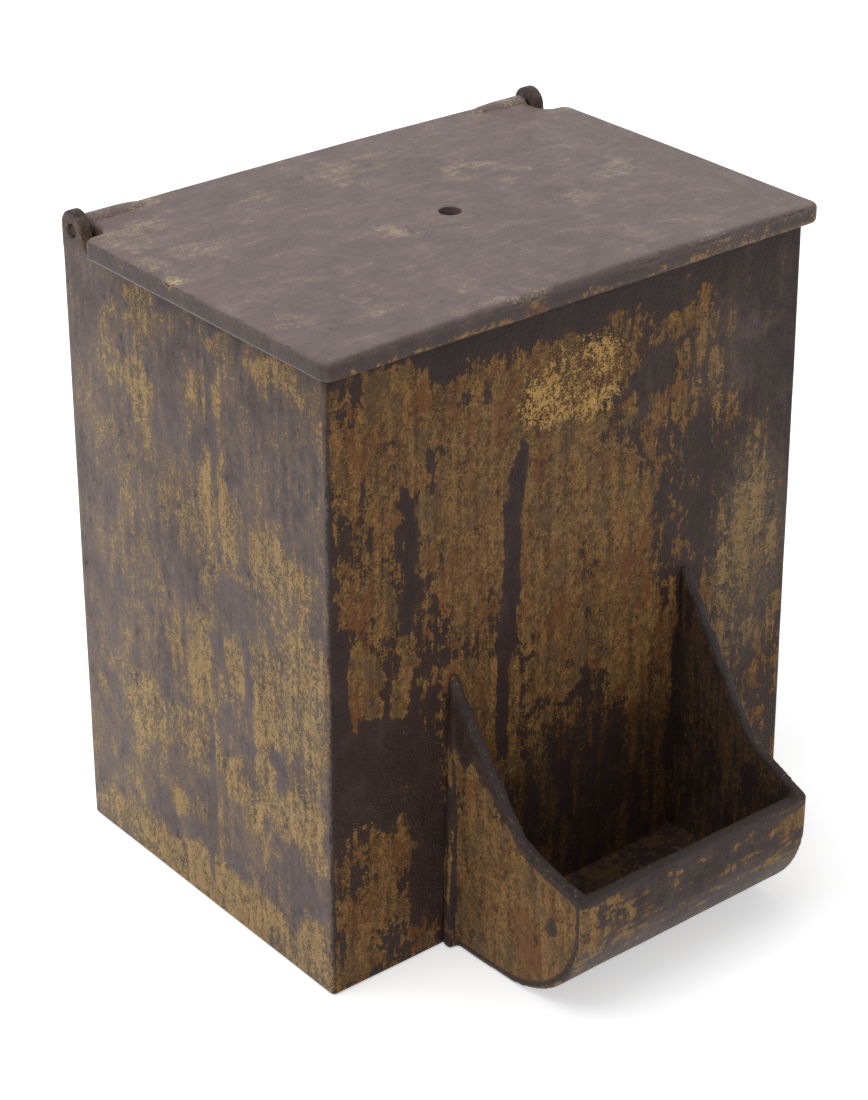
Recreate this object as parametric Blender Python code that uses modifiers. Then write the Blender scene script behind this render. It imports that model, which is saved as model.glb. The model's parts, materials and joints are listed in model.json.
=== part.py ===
"""Cigar box in painted cast iron, with a hinged lid and a match tray on its front.

Metres, +Z up. The origin is the middle of the foot, the front faces -Y, and the lid turns about an
axis along X just inside the top of the back wall.
"""

from math import acos, atan2, cos, pi, radians, sin, sqrt, tan, tau

import bmesh
import bpy
from mathutils import Matrix, Vector

# Box: four walls in one casting, a little wider at the foot
RIM_HEIGHT = 0.146
RIM_WIDTH = 0.1312
FOOT_FLARE = 0.0038
BODY_DEPTH = 0.095
WALL = 0.003
CORNER_RADIUS = 0.0009
INNER_CORNER_RADIUS = 0.0008

# Clearances, and how far cuts and joins run past a face
FIT_GAP = 0.0003
OVERRUN = 0.002
JOIN_DEPTH = 0.001
MERGE_DISTANCE = 0.00001

# Ears that carry the hinge pins
EAR_THICKNESS = 0.0028
EAR_RADIUS = 0.0039
EAR_RISE = 0.008
EAR_FLARE = 0.0015

# Hinge: where the axis lies, and the pins on it
PIVOT_SETBACK = 0.0044
PIVOT_RISE = 0.0034
PIN_RADIUS = 0.0013
PIN_EAR_CLEARANCE = 0.0002
PIN_RECESS = 0.0004
PIN_REACH = 0.009
PIN_ARRIS = 0.0002

# Lid: a crowned plate, notched round the ears
LID_THICKNESS = 0.0049
LID_CROWN = 0.0008
LID_SIDE_OVERHANG = 0.0024
LID_SPREAD = 0.0004
LID_FRONT_OVERHANG = 0.0031
LID_BACK_INSET = 0.0016
LID_BACK_ROUND = 0.0027
LID_CORNER_RADIUS = 0.0016
LID_ARRIS = 0.0006
NOTCH_SIDE_GAP = 0.00105
NOTCH_FRONT_GAP = 0.0032
NOTCH_FILLET = 0.003
NOTCH_CORNER_RADIUS = 0.0012

# Knuckles: round barrels on the lid that taper away into the plate
KNUCKLE_RADIUS = 0.003
KNUCKLE_LENGTH = 0.0142
KNUCKLE_TAPER = 0.005
KNUCKLE_END_RADIUS = 0.0015
KNUCKLE_PROUD = 0.00015

# Rivet stub of the lost knob, and its hole in the lid
KNOB_RIGHT = 0.0009
KNOB_AHEAD = 0.0042
STUB_RADIUS = 0.0021
STUB_TOP_DEPTH = 0.0012
STUB_BREAK_STEP = 0.0005
STUB_HEAD_RADIUS = 0.00375
STUB_HEAD_THICKNESS = 0.0015
STUB_BROKEN_SHARE = 0.5
STUB_HEAD_EDGE_SHARE = 0.5
STUB_HEAD_FLAT_SHARE = 0.67

# Bottom plate, let into the foot and screwed to a boss in each corner
BOTTOM_THICKNESS = 0.003
BOSS_RADIUS = 0.005
BOSS_HEIGHT = 0.009
BOSS_INSET = 0.0035
BOTTOM_SCREW_RADIUS = 0.0013
BOTTOM_SCREW_HEAD_RADIUS = 0.0029
BOTTOM_SCREW_HEAD_HEIGHT = 0.0016
BOTTOM_SCREW_LENGTH = 0.009
BOTTOM_SCREW_RECESS = 0.0002

# Match tray: two scalloped cheeks and a bent front panel
TRAY_REACH = 0.0417
TRAY_LIP_HEIGHT = 0.0318
TRAY_BEND_RADIUS = 0.024
PANEL_SETBACK = 0.0003
TRAY_PANEL = 0.0026
TRAY_HALF_WIDTH = 0.0352
TRAY_LIP_HALF_WIDTH = 0.0334
CHEEK = 0.0031
CHEEK_APEX_LEFT = 0.069
CHEEK_APEX_RIGHT = 0.072
KNEE_REACH_LEFT = 0.0223
KNEE_REACH_RIGHT = 0.0247
KNEE_HEIGHT_LEFT = 0.0363
KNEE_HEIGHT_RIGHT = 0.0373
KNEE_SOFTNESS = 0.0015
SCALLOP_DEPTH = 0.0008
SCALLOP_PITCH = 0.0088
BEAD_DEPTH = 0.0025
BEAD_FOOT_WIDTH = 0.002
BEAD_TOP_WIDTH = 0.0006
BEAD_STOP = 0.0025

# Tray screws, driven from inside the box into the back edges of the cheeks
TRAY_SCREW_RADIUS = 0.0008
TRAY_SCREW_HEAD_RADIUS = 0.0026
TRAY_SCREW_HEAD_HEIGHT = 0.0014
TRAY_SCREW_HEAD_ARRIS = 0.0004
TRAY_SCREW_BITE = 0.006
TRAY_SCREW_LOW = 0.014
TRAY_SCREW_HIGH = 0.051

# Slots of all the screws
SLOT_WIDTH = 0.0008
SLOT_DEPTH = 0.0006

# Angles between faces: where shading turns sharp, where bevels begin, and what counts as flat
SHARP_ANGLE = radians(35)
BEVEL_ANGLE = radians(40)
FLAT_ANGLE = radians(0.1)

# Counts of facets
ROUND_SEGMENTS = 32
SMALL_ROUND_SEGMENTS = 20
CORNER_SEGMENTS = 5
CROWN_SEGMENTS = 12
BEND_SEGMENTS = 12
EDGE_SEGMENTS = 44

# Places that follow from those sizes
FOOT_WIDTH = RIM_WIDTH + FOOT_FLARE
BACK_FACE = BODY_DEPTH / 2
FRONT_FACE = -BODY_DEPTH / 2
PIVOT_Y = BACK_FACE - PIVOT_SETBACK
PIVOT_Z = RIM_HEIGHT + PIVOT_RISE
EAR_MIDDLE = (RIM_WIDTH - WALL) / 2
EAR_INNER = EAR_MIDDLE - EAR_THICKNESS / 2
EAR_OUTER = EAR_MIDDLE + EAR_THICKNESS / 2
EAR_FRONT = PIVOT_Y - EAR_RADIUS - EAR_FLARE
LID_UNDERSIDE = RIM_HEIGHT + FIT_GAP
LID_TOP = LID_UNDERSIDE + LID_THICKNESS
LID_HALF_WIDTH = RIM_WIDTH / 2 + LID_SIDE_OVERHANG
LID_FRONT = FRONT_FACE - LID_FRONT_OVERHANG
LID_BACK = BACK_FACE - LID_BACK_INSET
NOTCH_SIDE = EAR_INNER - NOTCH_SIDE_GAP
NOTCH_FRONT = EAR_FRONT - NOTCH_FRONT_GAP
KNUCKLE_END = NOTCH_SIDE + KNUCKLE_PROUD
TRAY_BACK = FRONT_FACE - FIT_GAP
TRAY_PANEL_REACH = TRAY_REACH + PANEL_SETBACK
TRAY_SCREW_X = TRAY_HALF_WIDTH - CHEEK / 2
BEAD_HEIGHT = min(CHEEK_APEX_LEFT, CHEEK_APEX_RIGHT) - BEAD_STOP
BOSS_BASE = BOTTOM_THICKNESS + FIT_GAP

# Turns that lay a flat outline, drawn in X and Y, into an upright plane
FLAT = Matrix.Identity(4)
FACING_FRONT = Matrix.Rotation(pi / 2, 4, "X")
FACING_SIDE = Matrix.Rotation(pi / 2, 4, "Z") @ Matrix.Rotation(pi / 2, 4, "X")
TOWARDS_FRONT = Matrix.Rotation(pi / 2, 4, "X")


def clear_scene():
    """Remove every object that the file opens with."""
    for obj in list(bpy.data.objects):
        bpy.data.objects.remove(obj, do_unlink=True)


def new_collection(name):
    """A collection linked to the scene."""
    collection = bpy.data.collections.new(name)
    bpy.context.scene.collection.children.link(collection)
    return collection


def new_material(name, colour, roughness, metallic):
    """A Principled material of one linear colour."""
    material = bpy.data.materials.new(name)
    material.use_nodes = True
    shader = material.node_tree.nodes["Principled BSDF"]
    shader.inputs["Base Color"].default_value = (*colour, 1)
    shader.inputs["Roughness"].default_value = roughness
    shader.inputs["Metallic"].default_value = metallic
    return material


def new_object(name, mesh, collection):
    """An object of this mesh in this collection."""
    obj = bpy.data.objects.new(name, mesh)
    collection.objects.link(obj)
    return obj


def object_from_bmesh(name, mesh_data, collection):
    """Turn a finished bmesh into an object, and free it."""
    mesh = bpy.data.meshes.new(name)
    bmesh.ops.recalc_face_normals(mesh_data, faces=mesh_data.faces)
    mesh_data.to_mesh(mesh)
    mesh_data.free()
    return new_object(name, mesh, collection)


def shade_round(obj):
    """Smooth shading that keeps the arrises sharp."""
    obj.data.shade_smooth()
    obj.data.set_sharp_from_angle(angle=SHARP_ANGLE)


def body_half_width(height):
    """Half the outer width of the box at a height above its foot."""
    return (FOOT_WIDTH + (RIM_WIDTH - FOOT_WIDTH) * height / RIM_HEIGHT) / 2


def body_block(name, low, high, inset, corner_radius, collection):
    """The box's outer form between two heights, drawn in by an inset, with round upright edges."""
    shape = bmesh.new()
    bmesh.ops.create_cube(shape, size=1)
    for vertex in shape.verts:
        side = 1 if vertex.co.x > 0 else -1
        end = 1 if vertex.co.y > 0 else -1
        height = high if vertex.co.z > 0 else low
        vertex.co = (side * (body_half_width(height) - inset), end * (BACK_FACE - inset), height)
    uprights = []
    for edge in shape.edges:
        first, second = edge.verts
        if first.co.z != second.co.z:
            uprights.append(edge)
    bmesh.ops.bevel(
        shape,
        geom=uprights,
        offset=corner_radius,
        segments=CORNER_SEGMENTS,
        profile=0.5,
        affect="EDGES",
    )
    return object_from_bmesh(name, shape, collection)


def box(name, low, high, collection):
    """A plain block between two corners."""
    shape = bmesh.new()
    bmesh.ops.create_cube(shape, size=1)
    low, high = Vector(low), Vector(high)
    for vertex in shape.verts:
        share = vertex.co + Vector((0.5, 0.5, 0.5))
        vertex.co = low + (high - low) * share
    return object_from_bmesh(name, shape, collection)


def rod(name, radius, start, end, segments, collection):
    """A round bar from one point to another."""
    start, end = Vector(start), Vector(end)
    shape = bmesh.new()
    bmesh.ops.create_cone(
        shape,
        cap_ends=True,
        segments=segments,
        radius1=radius,
        radius2=radius,
        depth=(end - start).length,
    )
    obj = object_from_bmesh(name, shape, collection)
    turn = (end - start).to_track_quat("Z", "Y").to_matrix().to_4x4()
    obj.data.transform(Matrix.Translation((start + end) / 2) @ turn)
    shade_round(obj)
    return obj


def arc(centre, radius, first, last, count):
    """Points along an arc, with angles in radians."""
    points = []
    for step in range(count + 1):
        angle = first + (last - first) * step / count
        points.append((centre[0] + radius * cos(angle), centre[1] + radius * sin(angle)))
    return points


def rounded_outline(corners):
    """A closed outline through corners (x, y, radius), each replaced by its fillet if it has one."""
    points = []
    count = len(corners)
    for index, (x, y, radius) in enumerate(corners):
        if not radius:
            points.append((x, y))
            continue
        corner = Vector((x, y))
        before = Vector(corners[index - 1][:2])
        after = Vector(corners[(index + 1) % count][:2])
        back = (before - corner).normalized()
        ahead = (after - corner).normalized()
        half_angle = acos(back.dot(ahead)) / 2
        setback = radius / tan(half_angle)
        centre = corner + (back + ahead).normalized() * radius / sin(half_angle)
        start = corner + back * setback - centre
        finish = corner + ahead * setback - centre
        first = atan2(start.y, start.x)
        sweep = atan2(start.cross(finish), start.dot(finish))
        points += arc(centre, radius, first, first + sweep, CORNER_SEGMENTS)
    return points


def plate(name, outline, thickness, turn, collection):
    """A flat outline extruded evenly to both sides of its plane, as a welded mesh."""
    curve = bpy.data.curves.new(name, "CURVE")
    curve.dimensions = "2D"
    curve.fill_mode = "BOTH"
    curve.extrude = thickness / 2
    spline = curve.splines.new("POLY")
    spline.points.add(len(outline) - 1)
    for point, (x, y) in zip(spline.points, outline):
        point.co = (x, y, 0, 1)
    spline.use_cyclic_u = True
    drawn = new_object(name + "_outline", curve, collection)
    bpy.context.view_layer.update()
    graph = bpy.context.evaluated_depsgraph_get()
    mesh = bpy.data.meshes.new_from_object(drawn.evaluated_get(graph))
    shape = bmesh.new()
    shape.from_mesh(mesh)
    bmesh.ops.remove_doubles(shape, verts=shape.verts, dist=MERGE_DISTANCE)
    bmesh.ops.dissolve_limit(shape, angle_limit=FLAT_ANGLE, verts=shape.verts, edges=shape.edges)
    bmesh.ops.recalc_face_normals(shape, faces=shape.faces)
    shape.to_mesh(mesh)
    shape.free()
    mesh.name = name
    obj = new_object(name, mesh, collection)
    obj.matrix_world = drawn.matrix_world
    bpy.data.objects.remove(drawn, do_unlink=True)
    obj.data.transform(turn)
    return obj


def turned(name, profile, segments, collection):
    """A profile of (radius, height) points, from top to bottom, turned about Z."""
    mesh = bpy.data.meshes.new(name)
    points = [(radius, 0, height) for radius, height in profile]
    edges = [(index, index + 1) for index in range(len(points) - 1)]
    mesh.from_pydata(points, edges, [])
    obj = new_object(name, mesh, collection)
    screw = obj.modifiers.new("turn", "SCREW")
    screw.steps = segments
    screw.render_steps = segments
    screw.use_merge_vertices = True
    screw.merge_threshold = MERGE_DISTANCE
    return obj


def baked(obj, turn):
    """The object's mesh with its modifiers applied and a turn given to it; the object goes."""
    bpy.context.view_layer.update()
    graph = bpy.context.evaluated_depsgraph_get()
    mesh = bpy.data.meshes.new_from_object(obj.evaluated_get(graph))
    mesh.name = obj.name
    mesh.transform(turn)
    mesh.shade_smooth()
    mesh.set_sharp_from_angle(angle=SHARP_ANGLE)
    bpy.data.objects.remove(obj, do_unlink=True)
    return mesh


def combine(target, other, operation):
    """Add a Boolean with a helper object to the target, and hide the helper."""
    modifier = target.modifiers.new(operation.lower() + " " + other.name, "BOOLEAN")
    modifier.operation = operation
    modifier.object = other
    other.display_type = "WIRE"
    other.hide_render = True


def cut(target, cutter):
    combine(target, cutter, "DIFFERENCE")


def join(target, piece):
    combine(target, piece, "UNION")


def keep_common(target, piece):
    combine(target, piece, "INTERSECT")


def put_origin(obj, point):
    """Move the object's origin to a point and leave its shape where it is."""
    obj.data.transform(Matrix.Translation(-Vector(point)))
    obj.location = point


def ear_outline():
    """Side view of an ear: a round top, a straight back, and a front that flares to its foot."""
    centre = (PIVOT_Y, RIM_HEIGHT + EAR_RISE - EAR_RADIUS)
    foot = RIM_HEIGHT - JOIN_DEPTH
    points = arc(centre, EAR_RADIUS, 0, pi, ROUND_SEGMENTS // 2)
    points.append((EAR_FRONT, RIM_HEIGHT))
    points.append((EAR_FRONT, foot))
    points.append((PIVOT_Y + EAR_RADIUS, foot))
    return points


def boss_places():
    """Name and centre (x, y) of each corner boss."""
    across = body_half_width(BOSS_BASE) - WALL - BOSS_INSET
    along = BACK_FACE - WALL - BOSS_INSET
    return {
        "front_left": (-across, -along),
        "front_right": (across, -along),
        "back_left": (-across, along),
        "back_right": (across, along),
    }


def tray_screw_places():
    """Name and place (x, z) of each tray screw."""
    return {
        "upper_left": (-TRAY_SCREW_X, TRAY_SCREW_HIGH),
        "upper_right": (TRAY_SCREW_X, TRAY_SCREW_HIGH),
        "lower_left": (-TRAY_SCREW_X, TRAY_SCREW_LOW),
        "lower_right": (TRAY_SCREW_X, TRAY_SCREW_LOW),
    }


def make_box_body(parts, cutters, material):
    """Four walls, two ears with pin holes, and four bosses for the bottom screws."""
    body = body_block("box_body", 0, RIM_HEIGHT, 0, CORNER_RADIUS, parts)
    core = body_block(
        "cavity", -OVERRUN, RIM_HEIGHT + OVERRUN, WALL, INNER_CORNER_RADIUS, cutters
    )
    cut(body, core)
    for name, (x, y) in boss_places().items():
        top = BOSS_BASE + BOSS_HEIGHT
        boss = rod(
            "boss_" + name, BOSS_RADIUS, (x, y, BOSS_BASE), (x, y, top), SMALL_ROUND_SEGMENTS, cutters
        )
        join(body, boss)
    for side, sign in (("left", -1), ("right", 1)):
        ear = plate("ear_" + side, ear_outline(), EAR_THICKNESS, FACING_SIDE, cutters)
        ear.data.transform(Matrix.Translation((sign * EAR_MIDDLE, 0, 0)))
        join(body, ear)
    for name, (x, y) in boss_places().items():
        hole_top = BOTTOM_SCREW_RECESS + BOTTOM_SCREW_LENGTH + FIT_GAP
        hole = rod(
            "boss_hole_" + name,
            BOTTOM_SCREW_RADIUS + FIT_GAP,
            (x, y, BOSS_BASE - OVERRUN),
            (x, y, hole_top),
            SMALL_ROUND_SEGMENTS,
            cutters,
        )
        cut(body, hole)
    for name, (x, z) in tray_screw_places().items():
        hole = rod(
            "wall_hole_" + name,
            TRAY_SCREW_RADIUS + FIT_GAP,
            (x, FRONT_FACE - OVERRUN, z),
            (x, FRONT_FACE + WALL + OVERRUN, z),
            SMALL_ROUND_SEGMENTS,
            cutters,
        )
        cut(body, hole)
    for side, sign in (("left", -1), ("right", 1)):
        hole = rod(
            "ear_hole_" + side,
            PIN_RADIUS + PIN_EAR_CLEARANCE,
            (sign * (EAR_INNER - OVERRUN), PIVOT_Y, PIVOT_Z),
            (sign * (EAR_OUTER + OVERRUN), PIVOT_Y, PIVOT_Z),
            ROUND_SEGMENTS,
            cutters,
        )
        cut(body, hole)
    body.data.materials.append(material)
    return body


def bottom_screw_profile(growth, length):
    """Countersunk screw, head down, from the middle of its tip to the middle of its head."""
    slope = BOTTOM_SCREW_HEAD_RADIUS - BOTTOM_SCREW_RADIUS
    flare = slope / BOTTOM_SCREW_HEAD_HEIGHT
    shank = BOTTOM_SCREW_RADIUS + growth
    head = BOTTOM_SCREW_HEAD_RADIUS + growth
    return [
        (0, length),
        (shank, length),
        (shank, BOTTOM_SCREW_HEAD_HEIGHT),
        (head, 0),
        (head + growth * flare, -growth),
        (0, -growth),
    ]


def make_bottom_plate(parts, cutters, material):
    """The floor, with a countersunk hole under each boss."""
    bottom = body_block(
        "bottom_plate", 0, BOTTOM_THICKNESS, WALL + FIT_GAP, INNER_CORNER_RADIUS, parts
    )
    for name, (x, y) in boss_places().items():
        profile = bottom_screw_profile(FIT_GAP, BOTTOM_THICKNESS + OVERRUN)
        hole = turned("countersink_" + name, profile, SMALL_ROUND_SEGMENTS, cutters)
        hole.location = (x, y, BOTTOM_SCREW_RECESS)
        cut(bottom, hole)
    bottom.data.materials.append(material)
    return bottom


def slotted(profile, name, slot_floor, reach, cutters):
    """Mesh of a turned screw, tip up, with a slot across the underside of its head."""
    screw = turned(name, profile, SMALL_ROUND_SEGMENTS, cutters)
    low = (-reach, -SLOT_WIDTH / 2, slot_floor - SLOT_DEPTH - OVERRUN)
    high = (reach, SLOT_WIDTH / 2, slot_floor)
    slot = box(name + "_slot", low, high, cutters)
    cut(screw, slot)
    mesh = baked(screw, FLAT)
    bpy.data.objects.remove(slot, do_unlink=True)
    return mesh


def make_bottom_screws(parts, cutters, material):
    """Four countersunk screws that hold the bottom plate to the bosses."""
    mesh = slotted(
        bottom_screw_profile(0, BOTTOM_SCREW_LENGTH),
        "bottom_screw",
        SLOT_DEPTH,
        BOTTOM_SCREW_HEAD_RADIUS + OVERRUN,
        cutters,
    )
    mesh.materials.append(material)
    for name, (x, y) in boss_places().items():
        screw = new_object("bottom_screw_" + name, mesh, parts)
        screw.location = (x, y, BOTTOM_SCREW_RECESS)


def lid_plan():
    """Plan of the lid: round front corners and a notch round each ear, run out past the back."""
    back = LID_BACK + OVERRUN
    right = [
        (LID_HALF_WIDTH, LID_FRONT, LID_CORNER_RADIUS),
        (LID_HALF_WIDTH + LID_SPREAD, NOTCH_FRONT, NOTCH_CORNER_RADIUS),
        (NOTCH_SIDE, NOTCH_FRONT, NOTCH_FILLET),
        (NOTCH_SIDE, back, 0),
    ]
    left = [(-x, y, radius) for x, y, radius in reversed(right)]
    return rounded_outline(right + left)


def lid_crown():
    """Front view of the lid's crowned top, run out past its sides and its underside."""
    reach = LID_HALF_WIDTH + OVERRUN
    points = [(-reach, LID_UNDERSIDE - OVERRUN), (reach, LID_UNDERSIDE - OVERRUN)]
    for step in range(CROWN_SEGMENTS + 1):
        x = reach * (1 - 2 * step / CROWN_SEGMENTS)
        rise = LID_CROWN * (1 - (x / LID_HALF_WIDTH) ** 2)
        points.append((x, LID_TOP + rise))
    return points


def lid_side():
    """Side view of the lid: flat underside and a rounded lower back edge."""
    top = LID_TOP + LID_CROWN + OVERRUN
    centre = (LID_BACK - LID_BACK_ROUND, LID_UNDERSIDE + LID_BACK_ROUND)
    points = [(LID_FRONT - OVERRUN, top), (LID_FRONT - OVERRUN, LID_UNDERSIDE)]
    points += arc(centre, LID_BACK_ROUND, -pi / 2, 0, BEND_SEGMENTS)
    points.append((LID_BACK, top))
    return points


def knuckle_profile():
    """Barrel that tapers into the plate, from its full end to its small end."""
    shoulder = KNUCKLE_LENGTH
    tail = shoulder + KNUCKLE_TAPER
    return [
        (0, 0),
        (KNUCKLE_RADIUS, 0),
        (KNUCKLE_RADIUS, -shoulder),
        (KNUCKLE_END_RADIUS, -tail),
        (0, -tail),
    ]


def make_lid(parts, cutters, material):
    """The lid: plate, two knuckles bored for the pins, and the hole of its knob."""
    tall = 2 * (LID_TOP + LID_CROWN + OVERRUN)
    lid = plate("lid", lid_plan(), tall, FLAT, parts)
    crown = plate("lid_crown", lid_crown(), 2 * (BODY_DEPTH + OVERRUN), FACING_FRONT, cutters)
    side = plate("lid_side", lid_side(), 2 * (LID_HALF_WIDTH + OVERRUN), FACING_SIDE, cutters)
    keep_common(lid, side)
    keep_common(lid, crown)
    arrises = lid.modifiers.new("arrises", "BEVEL")
    arrises.width = LID_ARRIS
    arrises.segments = 2
    arrises.use_clamp_overlap = False
    arrises.limit_method = "ANGLE"
    arrises.angle_limit = BEVEL_ANGLE
    for name, sign in (("left", -1), ("right", 1)):
        knuckle = turned("knuckle_" + name, knuckle_profile(), ROUND_SEGMENTS, cutters)
        knuckle.rotation_euler = (0, sign * pi / 2, 0)
        knuckle.location = (sign * KNUCKLE_END, PIVOT_Y, PIVOT_Z)
        join(lid, knuckle)
    for name, sign in (("left", -1), ("right", 1)):
        bore = rod(
            "pin_bore_" + name,
            PIN_RADIUS + FIT_GAP,
            (sign * (KNUCKLE_END - PIN_REACH - FIT_GAP), PIVOT_Y, PIVOT_Z),
            (sign * (KNUCKLE_END + OVERRUN), PIVOT_Y, PIVOT_Z),
            ROUND_SEGMENTS,
            cutters,
        )
        cut(lid, bore)
    knob_hole = rod(
        "knob_hole",
        STUB_RADIUS + FIT_GAP,
        (KNOB_RIGHT, -KNOB_AHEAD, LID_UNDERSIDE - OVERRUN),
        (KNOB_RIGHT, -KNOB_AHEAD, LID_TOP + LID_CROWN + OVERRUN),
        ROUND_SEGMENTS,
        cutters,
    )
    cut(lid, knob_hole)
    put_origin(lid, (0, PIVOT_Y, PIVOT_Z))
    lid.data.materials.append(material)
    return lid


def make_stub(parts, lid, material):
    """What is left of the knob's rivet: a broken shank and the peened head under the lid."""
    top = LID_TOP + LID_CROWN - STUB_TOP_DEPTH
    head_top = LID_UNDERSIDE - FIT_GAP
    head_bottom = head_top - STUB_HEAD_THICKNESS
    profile = [
        (0, top - STUB_BREAK_STEP),
        (STUB_RADIUS * STUB_BROKEN_SHARE, top - STUB_BREAK_STEP),
        (STUB_RADIUS, top),
        (STUB_RADIUS, head_top),
        (STUB_HEAD_RADIUS, head_top),
        (STUB_HEAD_RADIUS, head_top - STUB_HEAD_THICKNESS * STUB_HEAD_EDGE_SHARE),
        (STUB_HEAD_RADIUS * STUB_HEAD_FLAT_SHARE, head_bottom),
        (0, head_bottom),
    ]
    stub = turned("knob_rivet_stub", profile, SMALL_ROUND_SEGMENTS, parts)
    stub.location = (KNOB_RIGHT, -KNOB_AHEAD, 0)
    stub.parent = lid
    stub.matrix_parent_inverse = Matrix.Translation(lid.location).inverted()
    stub.data.materials.append(material)
    return stub


def cheek_top(reach, apex, knee_reach, knee_height):
    """Height of a cheek's upper edge at a reach in front of the wall: steep, a soft knee, then flat."""
    steep = (apex - knee_height) / knee_reach
    gentle = (knee_height - TRAY_LIP_HEIGHT) / (TRAY_REACH - knee_reach)
    upper = apex - steep * reach
    lower = TRAY_LIP_HEIGHT + gentle * (TRAY_REACH - reach)
    height = (upper + lower) / 2 + sqrt(((upper - lower) / 2) ** 2 + KNEE_SOFTNESS**2)
    run = reach * sqrt(1 + steep**2)
    fade = sqrt(max(0, 1 - reach / knee_reach))
    scallop = SCALLOP_DEPTH * (cos(tau * run / SCALLOP_PITCH) - 1)
    return height + fade * scallop


def tray_top():
    """Height of the blank that both cheeks are cut from."""
    return max(CHEEK_APEX_LEFT, CHEEK_APEX_RIGHT)


def tray_bend(radius):
    """Points of the bend under the tray at one radius, from below to the panel."""
    centre = (TRAY_BACK - TRAY_PANEL_REACH + TRAY_BEND_RADIUS, TRAY_BEND_RADIUS)
    return arc(centre, radius, -pi / 2, -pi, BEND_SEGMENTS)


def panel_lean():
    """How far the panel moves back for each unit that it rises above the bend."""
    return PANEL_SETBACK / (TRAY_LIP_HEIGHT - TRAY_BEND_RADIUS)


def tray_outline():
    """Side view of the tray's blank as (y, z): flat foot, bend, and a panel up to full height."""
    points = [(TRAY_BACK, 0)]
    points += tray_bend(TRAY_BEND_RADIUS)
    setback = panel_lean() * (tray_top() - TRAY_BEND_RADIUS)
    points.append((TRAY_BACK - TRAY_PANEL_REACH + setback, tray_top()))
    points.append((TRAY_BACK, tray_top()))
    return points


def pocket_outline():
    """Side view of the tray's hollow, run out past its back and its top."""
    top = tray_top() + OVERRUN
    setback = panel_lean() * (top - TRAY_BEND_RADIUS)
    points = [(TRAY_BACK + OVERRUN, TRAY_PANEL)]
    points += tray_bend(TRAY_BEND_RADIUS - TRAY_PANEL)
    points.append((TRAY_BACK - TRAY_PANEL_REACH + TRAY_PANEL + setback, top))
    points.append((TRAY_BACK + OVERRUN, top))
    return points


def above_cheek(apex, knee_reach, knee_height):
    """Side view of all that is cut away above one cheek's edge, and above the lip beside it."""
    points = []
    for step in range(EDGE_SEGMENTS + 1):
        reach = TRAY_REACH * (1 - step / EDGE_SEGMENTS)
        points.append((TRAY_BACK - reach, cheek_top(reach, apex, knee_reach, knee_height)))
    points.append((TRAY_BACK + OVERRUN, points[-1][1]))
    points.append((TRAY_BACK + OVERRUN, tray_top() + OVERRUN))
    points.append((TRAY_BACK - TRAY_REACH - OVERRUN, tray_top() + OVERRUN))
    points.append((TRAY_BACK - TRAY_REACH - OVERRUN, points[0][1]))
    return points


def narrow_forwards(obj):
    """Draw the tray's sides in evenly from the wall to the lip."""
    for vertex in obj.data.vertices:
        share = (TRAY_BACK - vertex.co.y) / TRAY_REACH
        change = (TRAY_LIP_HALF_WIDTH - TRAY_HALF_WIDTH) * share
        vertex.co.x += change if vertex.co.x > 0 else -change


def bead_outline(sign):
    """Front view (x, z) of the bead beside a cheek: it narrows upwards."""
    inner = TRAY_HALF_WIDTH - CHEEK / 2
    return [
        (sign * inner, 0),
        (sign * (TRAY_HALF_WIDTH + BEAD_FOOT_WIDTH), 0),
        (sign * (TRAY_HALF_WIDTH + BEAD_TOP_WIDTH), BEAD_HEIGHT),
        (sign * inner, BEAD_HEIGHT),
    ]


def make_tray(parts, cutters, material):
    """The match tray, open at its back against the front wall."""
    tray = plate("match_tray", tray_outline(), 2 * TRAY_HALF_WIDTH, FACING_SIDE, parts)
    narrow_forwards(tray)
    for name, sign in (("left", -1), ("right", 1)):
        bead = plate("bead_" + name, bead_outline(sign), BEAD_DEPTH, FACING_FRONT, cutters)
        bead.data.transform(Matrix.Translation((0, TRAY_BACK - BEAD_DEPTH / 2, 0)))
        join(tray, bead)
    pocket_width = 2 * (TRAY_HALF_WIDTH - CHEEK)
    pocket = plate("tray_pocket", pocket_outline(), pocket_width, FACING_SIDE, cutters)
    narrow_forwards(pocket)
    cut(tray, pocket)
    edges = {
        "left": (-1, CHEEK_APEX_LEFT, KNEE_REACH_LEFT, KNEE_HEIGHT_LEFT),
        "right": (1, CHEEK_APEX_RIGHT, KNEE_REACH_RIGHT, KNEE_HEIGHT_RIGHT),
    }
    for name, (sign, apex, knee_reach, knee_height) in edges.items():
        outline = above_cheek(apex, knee_reach, knee_height)
        waste = plate("cheek_waste_" + name, outline, 2 * TRAY_HALF_WIDTH, FACING_SIDE, cutters)
        aside = sign * (TRAY_HALF_WIDTH - JOIN_DEPTH)
        waste.data.transform(Matrix.Translation((aside, 0, 0)))
        cut(tray, waste)
    for name, (x, z) in tray_screw_places().items():
        hole = rod(
            "cheek_hole_" + name,
            TRAY_SCREW_RADIUS + FIT_GAP,
            (x, TRAY_BACK - TRAY_SCREW_BITE - FIT_GAP, z),
            (x, TRAY_BACK + OVERRUN, z),
            SMALL_ROUND_SEGMENTS,
            cutters,
        )
        cut(tray, hole)
    tray.data.materials.append(material)
    return tray


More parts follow.
